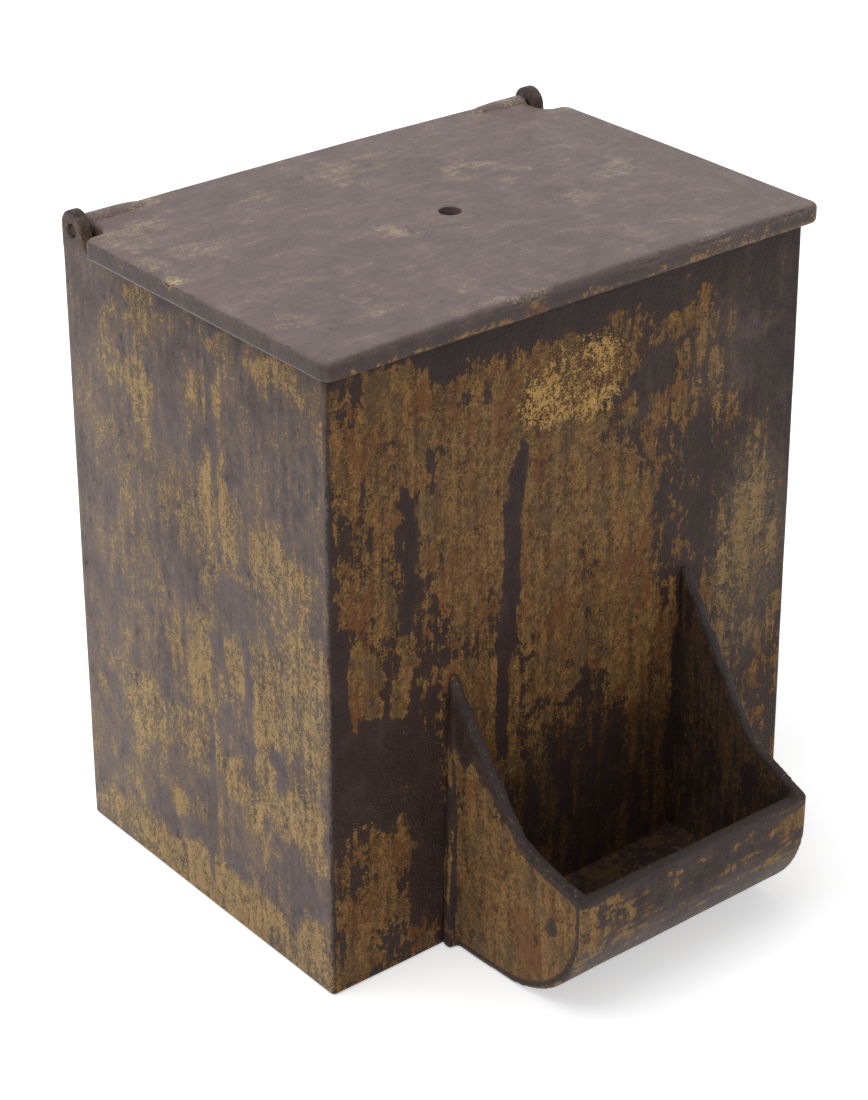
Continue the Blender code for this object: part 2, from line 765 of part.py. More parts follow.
def tray_screw_profile():
    """Round-headed screw, head down, with the underside of its head at height zero."""
    tip = FIT_GAP + WALL + FIT_GAP + TRAY_SCREW_BITE
    rim = TRAY_SCREW_HEAD_RADIUS
    return [
        (0, tip),
        (TRAY_SCREW_RADIUS, tip),
        (TRAY_SCREW_RADIUS, 0),
        (rim, 0),
        (rim, TRAY_SCREW_HEAD_ARRIS - TRAY_SCREW_HEAD_HEIGHT),
        (rim - TRAY_SCREW_HEAD_ARRIS, -TRAY_SCREW_HEAD_HEIGHT),
        (0, -TRAY_SCREW_HEAD_HEIGHT),
    ]


def make_tray_screws(parts, cutters, material):
    """Four screws that hold the tray, their heads inside the box."""
    mesh = slotted(
        tray_screw_profile(),
        "tray_screw",
        SLOT_DEPTH - TRAY_SCREW_HEAD_HEIGHT,
        TRAY_SCREW_HEAD_RADIUS + OVERRUN,
        cutters,
    )
    mesh.transform(TOWARDS_FRONT)
    mesh.materials.append(material)
    for name, (x, z) in tray_screw_places().items():
        screw = new_object("tray_screw_" + name, mesh, parts)
        screw.location = (x, FRONT_FACE + WALL + FIT_GAP, z)


def make_pins(parts, material):
    """A plain pin through each ear into its knuckle."""
    for name, sign in (("left", -1), ("right", 1)):
        pin = rod(
            "hinge_pin_" + name,
            PIN_RADIUS,
            (sign * (KNUCKLE_END - PIN_REACH), PIVOT_Y, PIVOT_Z),
            (sign * (EAR_OUTER - PIN_RECESS), PIVOT_Y, PIVOT_Z),
            ROUND_SEGMENTS,
            parts,
        )
        arrises = pin.modifiers.new("arrises", "BEVEL")
        arrises.width = PIN_ARRIS
        arrises.segments = 1
        arrises.limit_method = "ANGLE"
        arrises.angle_limit = BEVEL_ANGLE
        pin.data.materials.append(material)


def main():
    clear_scene()
    parts = new_collection("cigar_box")
    cutters = new_collection("cutters")
    bronzed = new_material("bronze_painted_iron", (0.15, 0.09, 0.045), 0.5, 0.5)
    japanned = new_material("dark_japanned_iron", (0.1, 0.075, 0.07), 0.45, 0.2)
    inside = new_material("dark_inside_iron", (0.03, 0.022, 0.02), 0.7, 0.2)
    steel = new_material("dark_steel", (0.08, 0.07, 0.065), 0.45, 0.9)
    make_box_body(parts, cutters, bronzed)
    make_bottom_plate(parts, cutters, inside)
    make_bottom_screws(parts, cutters, steel)
    lid = make_lid(parts, cutters, japanned)
    make_stub(parts, lid, steel)
    make_tray(parts, cutters, bronzed)
    make_tray_screws(parts, cutters, steel)
    make_pins(parts, steel)


main()
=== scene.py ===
"""Looks of a cast-iron cigar box with a match tray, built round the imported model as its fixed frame.

The file is laid out as an add-on and run as a script. Metres, +Z up, the front faces -Y.
"""

import json
from math import atan2, cos, hypot, pi, radians, sin, sqrt, tau

import bmesh
import bpy
from mathutils import Matrix, Vector, noise

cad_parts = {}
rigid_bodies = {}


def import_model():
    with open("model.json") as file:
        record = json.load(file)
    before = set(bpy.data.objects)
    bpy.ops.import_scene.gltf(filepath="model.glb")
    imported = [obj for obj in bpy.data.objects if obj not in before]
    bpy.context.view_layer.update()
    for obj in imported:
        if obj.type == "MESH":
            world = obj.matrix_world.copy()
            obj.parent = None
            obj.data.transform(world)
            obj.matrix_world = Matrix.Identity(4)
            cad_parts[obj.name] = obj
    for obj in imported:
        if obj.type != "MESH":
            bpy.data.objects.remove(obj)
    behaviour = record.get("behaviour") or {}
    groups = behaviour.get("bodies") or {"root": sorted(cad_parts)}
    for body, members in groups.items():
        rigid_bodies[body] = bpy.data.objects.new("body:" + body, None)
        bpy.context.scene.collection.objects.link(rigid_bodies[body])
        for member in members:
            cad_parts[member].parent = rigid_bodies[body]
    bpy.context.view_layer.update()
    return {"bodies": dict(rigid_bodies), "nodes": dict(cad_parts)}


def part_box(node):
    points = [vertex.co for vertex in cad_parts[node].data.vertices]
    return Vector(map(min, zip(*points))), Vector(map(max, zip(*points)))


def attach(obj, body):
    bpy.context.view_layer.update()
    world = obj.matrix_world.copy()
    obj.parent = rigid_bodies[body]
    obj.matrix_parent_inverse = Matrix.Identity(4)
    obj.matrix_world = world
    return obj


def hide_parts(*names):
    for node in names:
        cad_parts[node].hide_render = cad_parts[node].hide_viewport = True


bl_info = {
    "name": "Cigar Box With Match Tray",
    "version": (1, 0, 0),
    "blender": (4, 5, 0),
    "location": "3D View > Sidebar > Cigar Box",
    "description": "Builds the detailed pieces, finishes and stage of an old cast-iron cigar box",
    "category": "Add Mesh",
}

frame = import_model()
BODY_LOW, BODY_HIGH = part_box("box_body")
LID_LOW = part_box("lid")[0]
TRAY_LOW, TRAY_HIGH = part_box("match_tray")
STUB_LOW, STUB_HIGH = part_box("knob_rivet_stub")
PIN_LOW, PIN_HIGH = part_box("hinge_pin_left")
PLATE_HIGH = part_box("bottom_plate")[1]

MM = 0.001
# Closer than this is the same place, and a turn sharper than this is an arris
TOUCH = 1e-6
SHARP = radians(60)
HALF_DEPTH = BODY_HIGH.y
PIVOT_Y = (PIN_LOW.y + PIN_HIGH.y) / 2
PIVOT_Z = (PIN_LOW.z + PIN_HIGH.z) / 2
KNOB_X = (STUB_LOW.x + STUB_HIGH.x) / 2
KNOB_Y = (STUB_LOW.y + STUB_HIGH.y) / 2
TRAY_BACK = TRAY_HIGH.y
# The rim's height and how much further out the foot's sides lie, in millimetres, for the paint
RIM, FLARE = 146, 1.9
# What a painted piece says at each vertex, mostly from 0 to 1
PAINT_VALUES = ("bronze_left", "kept_bright", "faded", "soiled", "rubbed_and_highlight")


# Sizes and colours that a user may change


def length(name, description, default):
    """A length in metres."""
    return bpy.props.FloatProperty(name=name, description=description, default=default, unit="LENGTH")


def hex_colour(name, description, default):
    """A colour as sRGB hex."""
    return bpy.props.StringProperty(name=name, description=description + ", sRGB hex", default=default)


class BoxSizes(bpy.types.PropertyGroup):
    rim_height: length("Rim height", "Height of the walls' rim", 0.146)
    rim_width: length("Rim width", "Width of the box at its rim", 0.1312)
    wall: length("Wall", "Thickness of the walls", 0.003)
    corner_radius: length("Corner radius", "Radius of the upright edges", 0.0012)
    unevenness: length("Unevenness", "Depth of the casting's hollows", 0.00022)
    ear_radius: length("Ear radius", "Radius of the hinge ears' tops", 0.0039)
    ear_rise: length("Ear rise", "Height of the ears above the rim", 0.008)
    boss_radius: length("Boss radius", "Radius of the bosses in the foot", 0.005)
    boss_height: length("Boss height", "Height of the bosses in the foot", 0.009)
    boss_clearance: length("Boss clearance", "Gap from the bottom plate to a boss", 0.0003)


class LidSizes(bpy.types.PropertyGroup):
    half_width: length("Half width", "Half the lid's width at its front", 0.068)
    spread: length("Spread", "How much further out the notch corners lie", 0.0004)
    thickness: length("Thickness", "Thickness of the plate at its edge", 0.0049)
    crown: length("Crown", "Rise of the top in the middle", 0.0008)
    notch_side: length("Notch side", "Where the notches begin, from the middle", 0.06165)
    notch_front: length("Notch front", "Where the notches end, behind the middle", 0.0345)
    arris: length("Arris", "Radius of the worn arrises", 0.0013)
    hole_radius: length("Hole radius", "Radius of the knob's hole", 0.0024)


class TraySizes(bpy.types.PropertyGroup):
    half_width: length("Half width", "Half the tray's width at the wall", 0.0352)
    lip_half_width: length("Lip half width", "Half the tray's width at its lip", 0.0334)
    reach: length("Reach", "How far the lip stands out from the wall", 0.0417)
    lip_height: length("Lip height", "Height of the lip", 0.0318)
    bend_radius: length("Bend radius", "Radius of the bend under the tray", 0.024)
    cheek: length("Cheek", "Thickness of the cheeks and the panel", 0.0028)
    scallop: length("Scallop", "Half the depth of the scallops", 0.0008)
    seat: length("Seat", "How far the back edges press into the wall's hollows", 0.0002)


class FinishColours(bpy.types.PropertyGroup):
    japan_dark: hex_colour("Dark japan", "Japan where it kept its depth", "#3c2b28")
    # On the walls' left side this bleached colour also stands for painted sheen
    japan_faded: hex_colour("Faded japan", "Japan of the walls where it is bleached", "#8b7b78")
    japan_lid: hex_colour("Lid japan", "Japan of the lid, dulled by handling", "#6b5957")
    japan_rubbed: hex_colour("Rubbed japan", "Japan on the rubbed arrises", "#443a39")
    bronze: hex_colour("Bronze", "Dull bronze paint", "#815d3a")
    bronze_dirty: hex_colour("Dirty bronze", "Bronze paint brown with dirt", "#593d25")
    bronze_pale: hex_colour("Pale bronze", "Bronze paint that is worn pale", "#b3874c")
    bronze_red: hex_colour("Orange bronze", "Bronze paint gone orange-brown", "#7f4f2e")
    bronze_olive: hex_colour("Olive bronze", "Bronze paint gone olive", "#67523b")
    bronze_bright: hex_colour("Bright bronze", "Bronze paint that kept its gold", "#d6aa66")
    # On the walls' left side this bleached colour also stands for painted sheen
    bronze_faded: hex_colour("Faded bronze", "Bronze paint where it is bleached", "#d4b583")
    tan_smear: hex_colour("Tan smear", "Bronze paint wiped thin over the lid", "#a49583")
    # This grey is partly bare iron and partly painted highlight along arrises, such as the line along the
    # lid's lower sides
    rubbed_and_highlight: hex_colour("Rubbed iron", "Arrises rubbed to grey iron", "#938880")
    pit: hex_colour("Pit", "Dirt in pits and flaked spots", "#2b211d")
    inside: hex_colour("Inside", "Bare dark iron inside the box", "#37302d")
    # Darker than aged steel alone: the pin ends carry painted shade, so that they read as dark holes
    steel: hex_colour("Steel", "Darkened steel of pins and screws", "#26211f")


class FinishNames(bpy.types.PropertyGroup):
    bronze: bpy.props.StringProperty(name="Bronze paint", description="Material of the painted casting")
    japan: bpy.props.StringProperty(name="Japan", description="Material of the lid")
    inside: bpy.props.StringProperty(name="Inside", description="Material inside the box")
    steel: bpy.props.StringProperty(name="Steel", description="Material of pins and screws")


class StageSettings(bpy.types.PropertyGroup):
    key_power: bpy.props.FloatProperty(
        name="Key", description="Power of the large lamp", default=13.5, unit="POWER"
    )
    sky: bpy.props.FloatProperty(
        name="Sky", description="Strength of the even light from all round", default=0.4
    )
    lens: bpy.props.FloatProperty(
        name="Lens", description="Focal length on a 36 mm sensor, in mm", default=90.829
    )
    floor_glow: bpy.props.FloatProperty(
        name="Floor glow", description="Share of white that the camera adds to the floor", default=0.5
    )
    floor: hex_colour("Floor", "Colour of the floor", "#f8f8f9")


# Small helpers


def linear(text):
    """An sRGB hex colour as linear RGBA."""
    channels = [int(text[place : place + 2], 16) / 255 for place in (1, 3, 5)]
    return (*[c / 12.92 if c <= 0.04045 else ((c + 0.055) / 1.055) ** 2.4 for c in channels], 1)


def ease(share):
    """A share from 0 to 1 with a soft start and end."""
    share = min(1, max(0, share))
    return share * share * (3 - 2 * share)


def as_object(name, shape, materials):
    """Turn a finished bmesh into a smooth-shaded object at the origin, and free it."""
    mesh = bpy.data.meshes.new(name)
    shape.to_mesh(mesh)
    shape.free()
    mesh.shade_smooth()
    mesh.set_sharp_from_angle(angle=radians(38))
    obj = bpy.data.objects.new(name, mesh)
    bpy.context.scene.collection.objects.link(obj)
    for material in materials:
        mesh.materials.append(material)
    return obj


def finish_piece(obj, body, slot, *nodes):
    """Let a piece ride on its body and stand for its CAD nodes."""
    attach(obj, body)
    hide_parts(*nodes)


def slice_at(shape, axis, places):
    """Cut the whole mesh across one axis at each of these places."""
    normal = Vector([float(index == axis) for index in range(3)])
    for place in places:
        everything = shape.verts[:] + shape.edges[:] + shape.faces[:]
        bmesh.ops.bisect_plane(
            shape, geom=everything, dist=TOUCH, plane_co=normal * place, plane_no=normal
        )


def spaced(low, high, step):
    """Places between two ends, a step or a little less apart, without the ends."""
    count = max(1, round((high - low) / step))
    return [low + (high - low) * number / count for number in range(1, count)]


def climb(edge):
    """How far an edge climbs from one end to the other."""
    return abs(edge.verts[0].co.z - edge.verts[1].co.z)


def level_arrises(shape):
    """The sharp edges that lie level."""
    return [edge for edge in shape.edges if climb(edge) < TOUCH and edge.calc_face_angle(0) > SHARP]


def bevel(shape, edges, radius, segments, clamp=True):
    """Round some edges."""
    return bmesh.ops.bevel(
        shape,
        geom=edges,
        offset=radius,
        segments=segments,
        profile=0.5,
        affect="EDGES",
        material=-1,
        clamp_overlap=clamp,
    )


def grow(shape, faces, vector):
    """Extrude some faces along a vector, and return the new vertices."""
    grown = bmesh.ops.extrude_face_region(shape, geom=faces)["geom"]
    moved = [item for item in grown if isinstance(item, bmesh.types.BMVert)]
    bmesh.ops.translate(shape, verts=moved, vec=vector)
    return moved


def turn_line(shape, places, centre, axis, steps):
    """Spin a line of places about an axis into a closed round."""
    points = [shape.verts.new(place) for place in places]
    edges = [shape.edges.new(pair) for pair in zip(points, points[1:])]
    bmesh.ops.spin(
        shape,
        geom=points + edges,
        cent=centre,
        axis=axis,
        angle=tau,
        steps=steps,
        use_merge=True,
        use_duplicate=False,
    )


def sink_unevenly(shape, depth, sizes):
    """Draw the surface in by soft hollows, as a sand casting has them. Nothing grows outwards.

    The sizes are pairs: how wide the hollows are, in metres, and their share of the depth.
    """
    shape.normal_update()
    moves = []
    for vertex in shape.verts:
        total = 0
        for size, share in sizes:
            total += share * (noise.noise(vertex.co / size) + 1) / 2
        moves.append(vertex.normal * -depth * min(1, total))
    for vertex, move in zip(shape.verts, moves):
        vertex.co += move


def mark_paint(obj, rows):
    """Store the five paint values of every vertex for the materials to read."""
    for name, values in zip(PAINT_VALUES, zip(*rows)):
        attribute = obj.data.attributes.new(name, "FLOAT", "POINT")
        attribute.data.foreach_set("value", values)


def patch_field(across, up, patches):
    """Sum of soft oval patches (across, up, reach across, reach up, amount), all in millimetres."""
    total = 0
    for middle, height, reach, rise, amount in patches:
        far = hypot((across - middle) / reach, (up - height) / rise)
        if far < 1:
            total += amount * ease(1.8 * (1 - far))
    return total


def drift(point, size, seed):
    """Slow change over a surface, from -1 to 1."""
    return noise.noise(Vector(point) / size + Vector((seed, seed * 2, seed * 3)))


def warped(point, across, up):
    """A place on a wall in millimetres, moved about so that the borders of patches wander."""
    moves = []
    for seed in (11, 17):
        moves.append(5.0 * drift(point, 0.013, seed) + 2.6 * drift(point, 0.0045, seed + 1))
    return across + moves[0], up + 1.5 * moves[1]


def run_field(across, up, runs):
    """How much paint dark runs take off, each a line of points (across, up, half width) in millimetres."""
    soft_border = 1.1
    most = 0
    for line in runs:
        for (x1, y1, w1), (x2, y2, w2) in zip(line, line[1:]):
            dx, dy = x2 - x1, y2 - y1
            along = min(1, max(0, ((across - x1) * dx + (up - y1) * dy) / (dx * dx + dy * dy)))
            away = hypot(across - x1 - along * dx, up - y1 - along * dy)
            most = max(most, ease(1.0 - (away - (w1 + (w2 - w1) * along)) / soft_border))
    return most


# Finishes


def add_node(tree, kind, inputs, output=0, **settings):
    """Add a node with its settings, fill its inputs, and return one of its outputs.

    Each input is a socket to link, the sRGB hex of a colour, or a plain value.
    """
    node = tree.nodes.new(kind)
    for name, value in settings.items():
        setattr(node, name, value)
    for name, value in inputs.items():
        if isinstance(value, bpy.types.NodeSocket):
            tree.links.new(value, node.inputs[name])
        else:
            node.inputs[name].default_value = linear(value) if isinstance(value, str) else value
    return node.outputs[output]


def new_finish(name):
    """A material, its node tree and its Principled shader."""
    material = bpy.data.materials.new(name)
    material.use_nodes = True
    tree = material.node_tree
    return material, tree, tree.nodes["Principled BSDF"]


def add_patterns(tree, start, *patterns):
    """A start value with each pattern, less its middle of 0.5, added at its own weight."""
    total = start
    for pattern, weight in patterns:
        centred = add_node(tree, "ShaderNodeMath", {0: pattern, 1: 0.5}, operation="SUBTRACT")
        total = add_node(
            tree, "ShaderNodeMath", {0: centred, 1: weight, 2: total}, operation="MULTIPLY_ADD"
        )
    return total


def lay_colour(tree, below, colour, value, low, high, most=1):
    """Lay a colour over another where a value rises from low to high, up to a share of its own."""
    rise = {"Value": value, "From Min": low, "From Max": high, "To Max": most}
    share = add_node(tree, "ShaderNodeMapRange", rise, interpolation_type="SMOOTHSTEP")
    return add_node(tree, "ShaderNodeMix", {0: share, 6: below, 7: colour}, 2, data_type="RGBA")


def painted_iron(name, colours, bleached, run, depth, specks, specular):
    """Cast iron, japanned dark and painted over with bronze powder paint that has flaked and rubbed off.

    The japan gives a dull purplish brown with a soft shine, paler where it is faded, and on the walls' left
    side paler also as a painted sheen. The bronze is matt, grainy and streaked downwards, with ragged
    borders. The vertex values bronze_left, kept_bright, faded, soiled and rubbed_and_highlight say how much
    paint is left, where it kept its gold, where it is bleached and where painted sheen makes it paler, where
    dirt lies in it, and where handling rubbed it and a painted highlight lies along an arris.
    """
    material, tree, shader = new_finish(name)
    japan_faded, bleached_bronze = bleached
    place = add_node(tree, "ShaderNodeTexCoord", {}, "Object")
    left, bright, faded, soiled, rubbed_and_highlight = (
        add_node(tree, "ShaderNodeAttribute", {}, "Fac", attribute_name=value) for value in PAINT_VALUES
    )
    # Ragged flakes of 1.7 mm, patches of 7 mm, streaks 2 mm wide where polish and dirt ran, clouds of 6 mm,
    # twice as tall as wide, and grains of the powder paint. The real grains of 0.2 mm would not show, so
    # they are drawn at 0.55 mm
    flakes, patches, streaks, clouds, grains = (
        add_node(
            tree,
            "ShaderNodeTexNoise",
            {
                "Vector": add_node(tree, "ShaderNodeMapping", {"Vector": place, "Scale": squeeze}),
                "Scale": 1 / (size * MM),
                "Detail": detail,
                "Roughness": roughness,
                "Distortion": distortion,
            },
        )
        for size, squeeze, detail, roughness, distortion in (
            (1.7, (1, 1, 0.7), 5, 0.7, 0.3),
            (7, (1, 1, 0.7), 6, 0.6, 0.6),
            (2, run, 3, 0.6, 0),
            (6, (1, 1, 0.5), 5, 0.65, 0.4),
            (0.55, (1, 1, 1), 3, 0.6, 0),
        )
    )

    # How much paint is left. Where it is bleached, paler as painted sheen, or soiled, it is a speckle with
    # soft borders
    total = add_patterns(tree, left, (flakes, 1.0), (streaks, 0.75), (patches, 1.3), (grains, 0.35))
    drips = add_patterns(tree, 0.0, (streaks, 1.3))
    total = add_node(tree, "ShaderNodeMath", {0: drips, 1: soiled, 2: total}, operation="MULTIPLY_ADD")
    thin = add_node(tree, "ShaderNodeMath", {0: faded, 1: soiled}, operation="MAXIMUM")
    speckle = add_patterns(tree, 0.0, (grains, 2.3))
    speckled = add_node(tree, "ShaderNodeMath", {0: speckle, 1: thin, 2: total}, operation="MULTIPLY_ADD")
    low, high = (
        add_node(tree, "ShaderNodeMath", {0: thin, 1: widening, 2: border}, operation="MULTIPLY_ADD")
        for widening, border in ((-0.10, 0.46), (0.12, 0.53))
    )
    kept = add_node(tree, "ShaderNodeMath", {0: bright, 1: 1.9, 2: -0.45}, operation="MULTIPLY_ADD")
    kept = add_patterns(tree, kept, (grains, 2.4), (flakes, 2.4))
    film, gleam = (
        add_node(
            tree,
            "ShaderNodeMapRange",
            {"Value": value, "From Min": start, "From Max": full},
            interpolation_type="SMOOTHSTEP",
        )
        for value, start, full in ((speckled, low, high), (kept, 0.5, 0.95))
    )
    paint = add_node(tree, "ShaderNodeMath", {0: film, 1: gleam}, operation="MAXIMUM")

    # Bronze: dirty brown, dull gold and pale gold by grain, then orange-brown and olive clouds
    tone = add_patterns(tree, 0.5, (grains, 1.2), (flakes, 1.1), (streaks, 0.7))
    bronze = add_node(tree, "ShaderNodeValToRGB", {"Fac": tone})
    steps = bronze.node.color_ramp.elements
    steps[0].position, steps[0].color = 0.28, linear(colours.bronze_dirty)
    steps[1].position, steps[1].color = 0.74, linear(colours.bronze_pale)
    steps.new(0.5).color = linear(colours.bronze)
    bronze = lay_colour(tree, bronze, colours.bronze_red, clouds, 0.5, 0.64, 0.8)
    bronze = lay_colour(tree, bronze, colours.bronze_olive, clouds, 0.5, 0.36, 0.65)
    # Then the gold that it kept, the bleached grain, which on the walls' left side is also painted sheen,
    # and brown dirt down the runs
    bleached_grain = lay_colour(tree, colours.bronze_olive, bleached_bronze, tone, 0.14, 0.64)
    pale = add_node(tree, "ShaderNodeMath", {0: faded, 1: 1.1}, operation="MULTIPLY")
    for share, upper in ((gleam, colours.bronze_bright), (pale, bleached_grain)):
        bronze = add_node(tree, "ShaderNodeMix", {0: share, 6: bronze, 7: upper}, 2, data_type="RGBA")
    grime = add_patterns(tree, -0.2, (patches, 1.2), (streaks, 0.9))
    grime = add_node(tree, "ShaderNodeMath", {0: soiled, 1: 0.8, 2: grime}, operation="MULTIPLY_ADD")
    bronze = lay_colour(tree, bronze, colours.bronze_dirty, grime, 0, 1, 0.8)

    # Japan: paler by its own value, which is bleaching and on the walls' left side also painted sheen,
    # darker where it lies thick, tan where paint is nearly gone
    paler = add_patterns(tree, faded, (patches, 0.8), (flakes, 0.4), (streaks, 0.3))
    japan = lay_colour(tree, colours.japan_dark, japan_faded, paler, -0.1, 1.1)
    most = add_node(tree, "ShaderNodeMath", {0: soiled, 1: 0.5, 2: 0.25}, operation="MULTIPLY_ADD")
    tan = {0: faded, 6: colours.bronze_dirty, 7: bleached_bronze}
    tan = add_node(tree, "ShaderNodeMix", tan, 2, data_type="RGBA")
    japan = lay_colour(tree, japan, tan, total, 0.05, 0.5, most)
    surface = add_node(tree, "ShaderNodeMix", {0: paint, 6: japan, 7: bronze}, 2, data_type="RGBA")

    # Dirt in flecks of 2 mm with crisp borders, and between the grains of bleached paint
    flecks = add_patterns(tree, 0.5, (flakes, -1.0), (grains, -0.5), (patches, -0.4))
    surface = lay_colour(tree, surface, colours.pit, flecks, 0.66, 0.72, 0.75)
    gaps = add_patterns(tree, film, (grains, -2.2), (flakes, -1.0))
    gaps = add_node(
        tree,
        "ShaderNodeMapRange",
        {"Value": gaps, "From Min": 1.16, "From Max": 1.5, "To Max": 0.6},
        interpolation_type="SMOOTHSTEP",
    )
    gaps = add_node(tree, "ShaderNodeMath", {0: gaps, 1: faded}, operation="MULTIPLY")
    surface = add_node(tree, "ShaderNodeMix", {0: gaps, 6: surface, 7: colours.pit}, 2, data_type="RGBA")
    # Pale specks of bare metal and dust, a millimetre across
    dust = add_patterns(tree, 0.5, (grains, 1.0), (flakes, 0.6))
    surface = lay_colour(tree, surface, colours.rubbed_and_highlight, dust, 0.70, 0.76, specks)

    # Rubbed arrises: dark, with grey that is partly bare iron and partly painted highlight along the arrises
    worn = add_patterns(tree, rubbed_and_highlight, (flakes, 1.4), (grains, 0.6))
    surface = lay_colour(tree, surface, colours.japan_rubbed, worn, 0.42, 0.6, 0.92)
    bare = add_node(
        tree,
        "ShaderNodeMapRange",
        {
            "Value": add_patterns(tree, rubbed_and_highlight, (grains, 1.6), (flakes, 0.6)),
            "From Min": 0.98,
            "From Max": 1.2,
            "To Max": 0.8,
        },
        interpolation_type="SMOOTHSTEP",
    )
    surface = add_node(tree, "ShaderNodeMix", {0: bare, 6: surface, 7: colours.rubbed_and_highlight}, 2, data_type="RGBA")
    tree.links.new(surface, shader.inputs["Base Color"])

    # Japan is smoother than paint, and only gold that was kept has a little of a metal's shine
    shine = add_node(tree, "ShaderNodeMapRange", {"Value": paint, "To Min": 0.38, "To Max": 0.52})
    tree.links.new(add_patterns(tree, shine, (grains, 0.3), (bare, -0.2)), shader.inputs["Roughness"])
    glint = add_node(tree, "ShaderNodeMath", {0: gleam, 1: 0.35}, operation="MULTIPLY")
    tree.links.new(glint, shader.inputs["Metallic"])
    shader.inputs["Specular IOR Level"].default_value = specular

    # Relief: the edge of the paint film, flakes, grains and the casting's slow dimples
    relief = add_patterns(
        tree, 0.0, (paint, 0.25), (flakes, 1.0), (grains, 1.1), (patches, 1.2), (gleam, 0.5)
    )
    bump = add_node(tree, "ShaderNodeBump", {"Height": relief, "Strength": 1.0, "Distance": depth})
    tree.links.new(bump, shader.inputs["Normal"])
    return material


def bare_metal(name, colour, dark, blotches, spread, grains, shine, relief, metallic=0.0, specular=0.5):
    """Unpainted metal: one colour with darker blotches, and a grain that breaks its shine.

    The two patterns are each given as a size in millimetres and a detail.
    """
    material, tree, shader = new_finish(name)
    place = add_node(tree, "ShaderNodeTexCoord", {}, "Object")
    blotch, grain = (
        add_node(
            tree,
            "ShaderNodeTexNoise",
            {"Vector": place, "Scale": 1 / (size * MM), "Detail": detail, "Roughness": 0.6},
        )
        for size, detail in (blotches, grains)
    )
    share = {"Value": blotch, "From Min": 0.5 - spread, "From Max": 0.5 + spread}
    share = add_node(tree, "ShaderNodeMapRange", share)
    surface = add_node(tree, "ShaderNodeMix", {0: share, 6: colour, 7: dark}, 2, data_type="RGBA")
    tree.links.new(surface, shader.inputs["Base Color"])
    rough = add_node(tree, "ShaderNodeMapRange", {"Value": grain, "To Min": shine[0], "To Max": shine[1]})
    tree.links.new(rough, shader.inputs["Roughness"])
    shader.inputs["Metallic"].default_value = metallic
    shader.inputs["Specular IOR Level"].default_value = specular
    strength, distance = relief
    bump = add_node(tree, "ShaderNodeBump", {"Height": grain, "Strength": strength, "Distance": distance})
    tree.links.new(bump, shader.inputs["Normal"])
    return material


def get_finish(finishes, name):
    """The material made for one finish."""
    made = bpy.data.materials.get(getattr(finishes, name))
    if made is None:
        raise RuntimeError("make the finishes before the pieces")
    return made


# Where the paint is left

# Soft patches as (across, up, reach across, reach up, amount) in millimetres, less where it is gone, and
# along the front's top less for a painted shadow.
# Runs are lines of points (across, up, half width). The left side is seen from the left.
FRONT_PATCHES = [
    (-42, 124, 30, 24, 0.40), (-22, 100, 26, 26, 0.34), (-56, 98, 9, 16, 0.22), (-4, 128, 22, 14, 0.34),
    (4, 92, 26, 32, 0.27), (16, 74, 12, 12, 0.22), (-32, 78, 12, 22, 0.12), (29, 137, 10, 5, 0.34),
    (42, 125, 9, 9, 0.12), (-57, 76, 6, 10, 0.46), (-47, 66, 4, 12, 0.20), (-46, 48, 4, 14, 0.24),
    (-55, 20, 13, 12, 0.30), (-55, 14, 4, 3, -0.20), (-48, 22, 3, 6, -0.20), (-63, 7, 9, 7, 0.34),
    (-50, 33, 7, 6, 0.28), (-24, 52, 10, 24, 0.30), (-6, 60, 9, 14, 0.24), (8, 58, 9, 14, 0.26),
    (22, 56, 8, 22, 0.30), (31, 46, 4, 30, 0.34), (54, 70, 12, 20, 0.11), (50, 30, 14, 24, 0.04),
    (36, 88, 9, 28, -0.20), (22, 122, 8, 8, -0.34), (14, 122, 10, 5, -0.40), (56, 128, 20, 32, -0.34),
    (66, 100, 8, 60, -0.20), (-65, 74, 5, 44, -0.46), (-51, 96, 2.6, 5, -0.14), (-49, 80, 3, 8, -0.06),
    (-52, 52, 18, 20, -0.40), (-40, 24, 7, 26, -0.36), (-62, 26, 5, 6, -0.24), (-38, 117, 3.2, 6, -0.60),
    (-44, 113, 2.6, 3, -0.50), (-34, 121, 2.4, 2.4, -0.50), (-50, 128, 2.4, 3, -0.40),
    (-30, 134, 2.4, 3, -0.40), (-31, 113, 3, 3, -0.40), (-46, 104, 2.4, 3, -0.40), (-24, 131, 4, 4, -0.40),
    (-54, 116, 3, 4, -0.40), (-60, 121, 3, 3, -0.36), (-26, 84, 3, 8, -0.35), (0, 14, 40, 26, -0.22),
    # The last patch takes the paint off along the top, under the lid, so that the dark japan there is a
    # painted shadow of the lid's overhang
    (0, 53, 11, 3, -0.34), (2, 36, 26, 10, -0.16), (0, 148, 90, 9, -0.60),
]
FRONT_BRIGHT = [
    (-1, 127, 24, 17, 0.56), (-9, 124, 9, 9, 0.10), (9, 134, 10, 6, 0.15), (8, 120, 10, 5, 0.17),
    (-34, 122, 30, 22, 0.10), (-5, 95, 24, 26, 0.12), (28, 137, 16, 6, 0.26), (42, 126, 10, 9, 0.28),
    (48, 100, 10, 12, 0.22), (54, 72, 12, 22, 0.36), (56, 40, 10, 24, 0.26), (22, 60, 10, 20, 0.10),
    (-15, 64, 4, 5, 0.50), (29, 62, 3, 12, 0.30), (-56, 20, 12, 16, 0.12),
]
FRONT_FADED = [
    (62, 100, 22, 60, 0.10), (44, 122, 16, 18, 0.24), (54, 68, 16, 40, 0.36), (-10, 110, 60, 40, 0.06),
]
FRONT_RUNS = [
    [(-14.5, 116, 0.3), (-16.2, 110, 1.4), (-17.4, 100, 2.0), (-18.3, 82, 1.6),
     (-19.4, 68, 0.9), (-20.2, 42, 0.5)],
    [(-46, 116, 0.1), (-44.6, 106, 0.3), (-45.4, 96, 0.2), (-46, 84, 0.1)],
    [(33, 66, 0.1), (31.5, 40, 0.4), (31, 20, 0.2)],
]
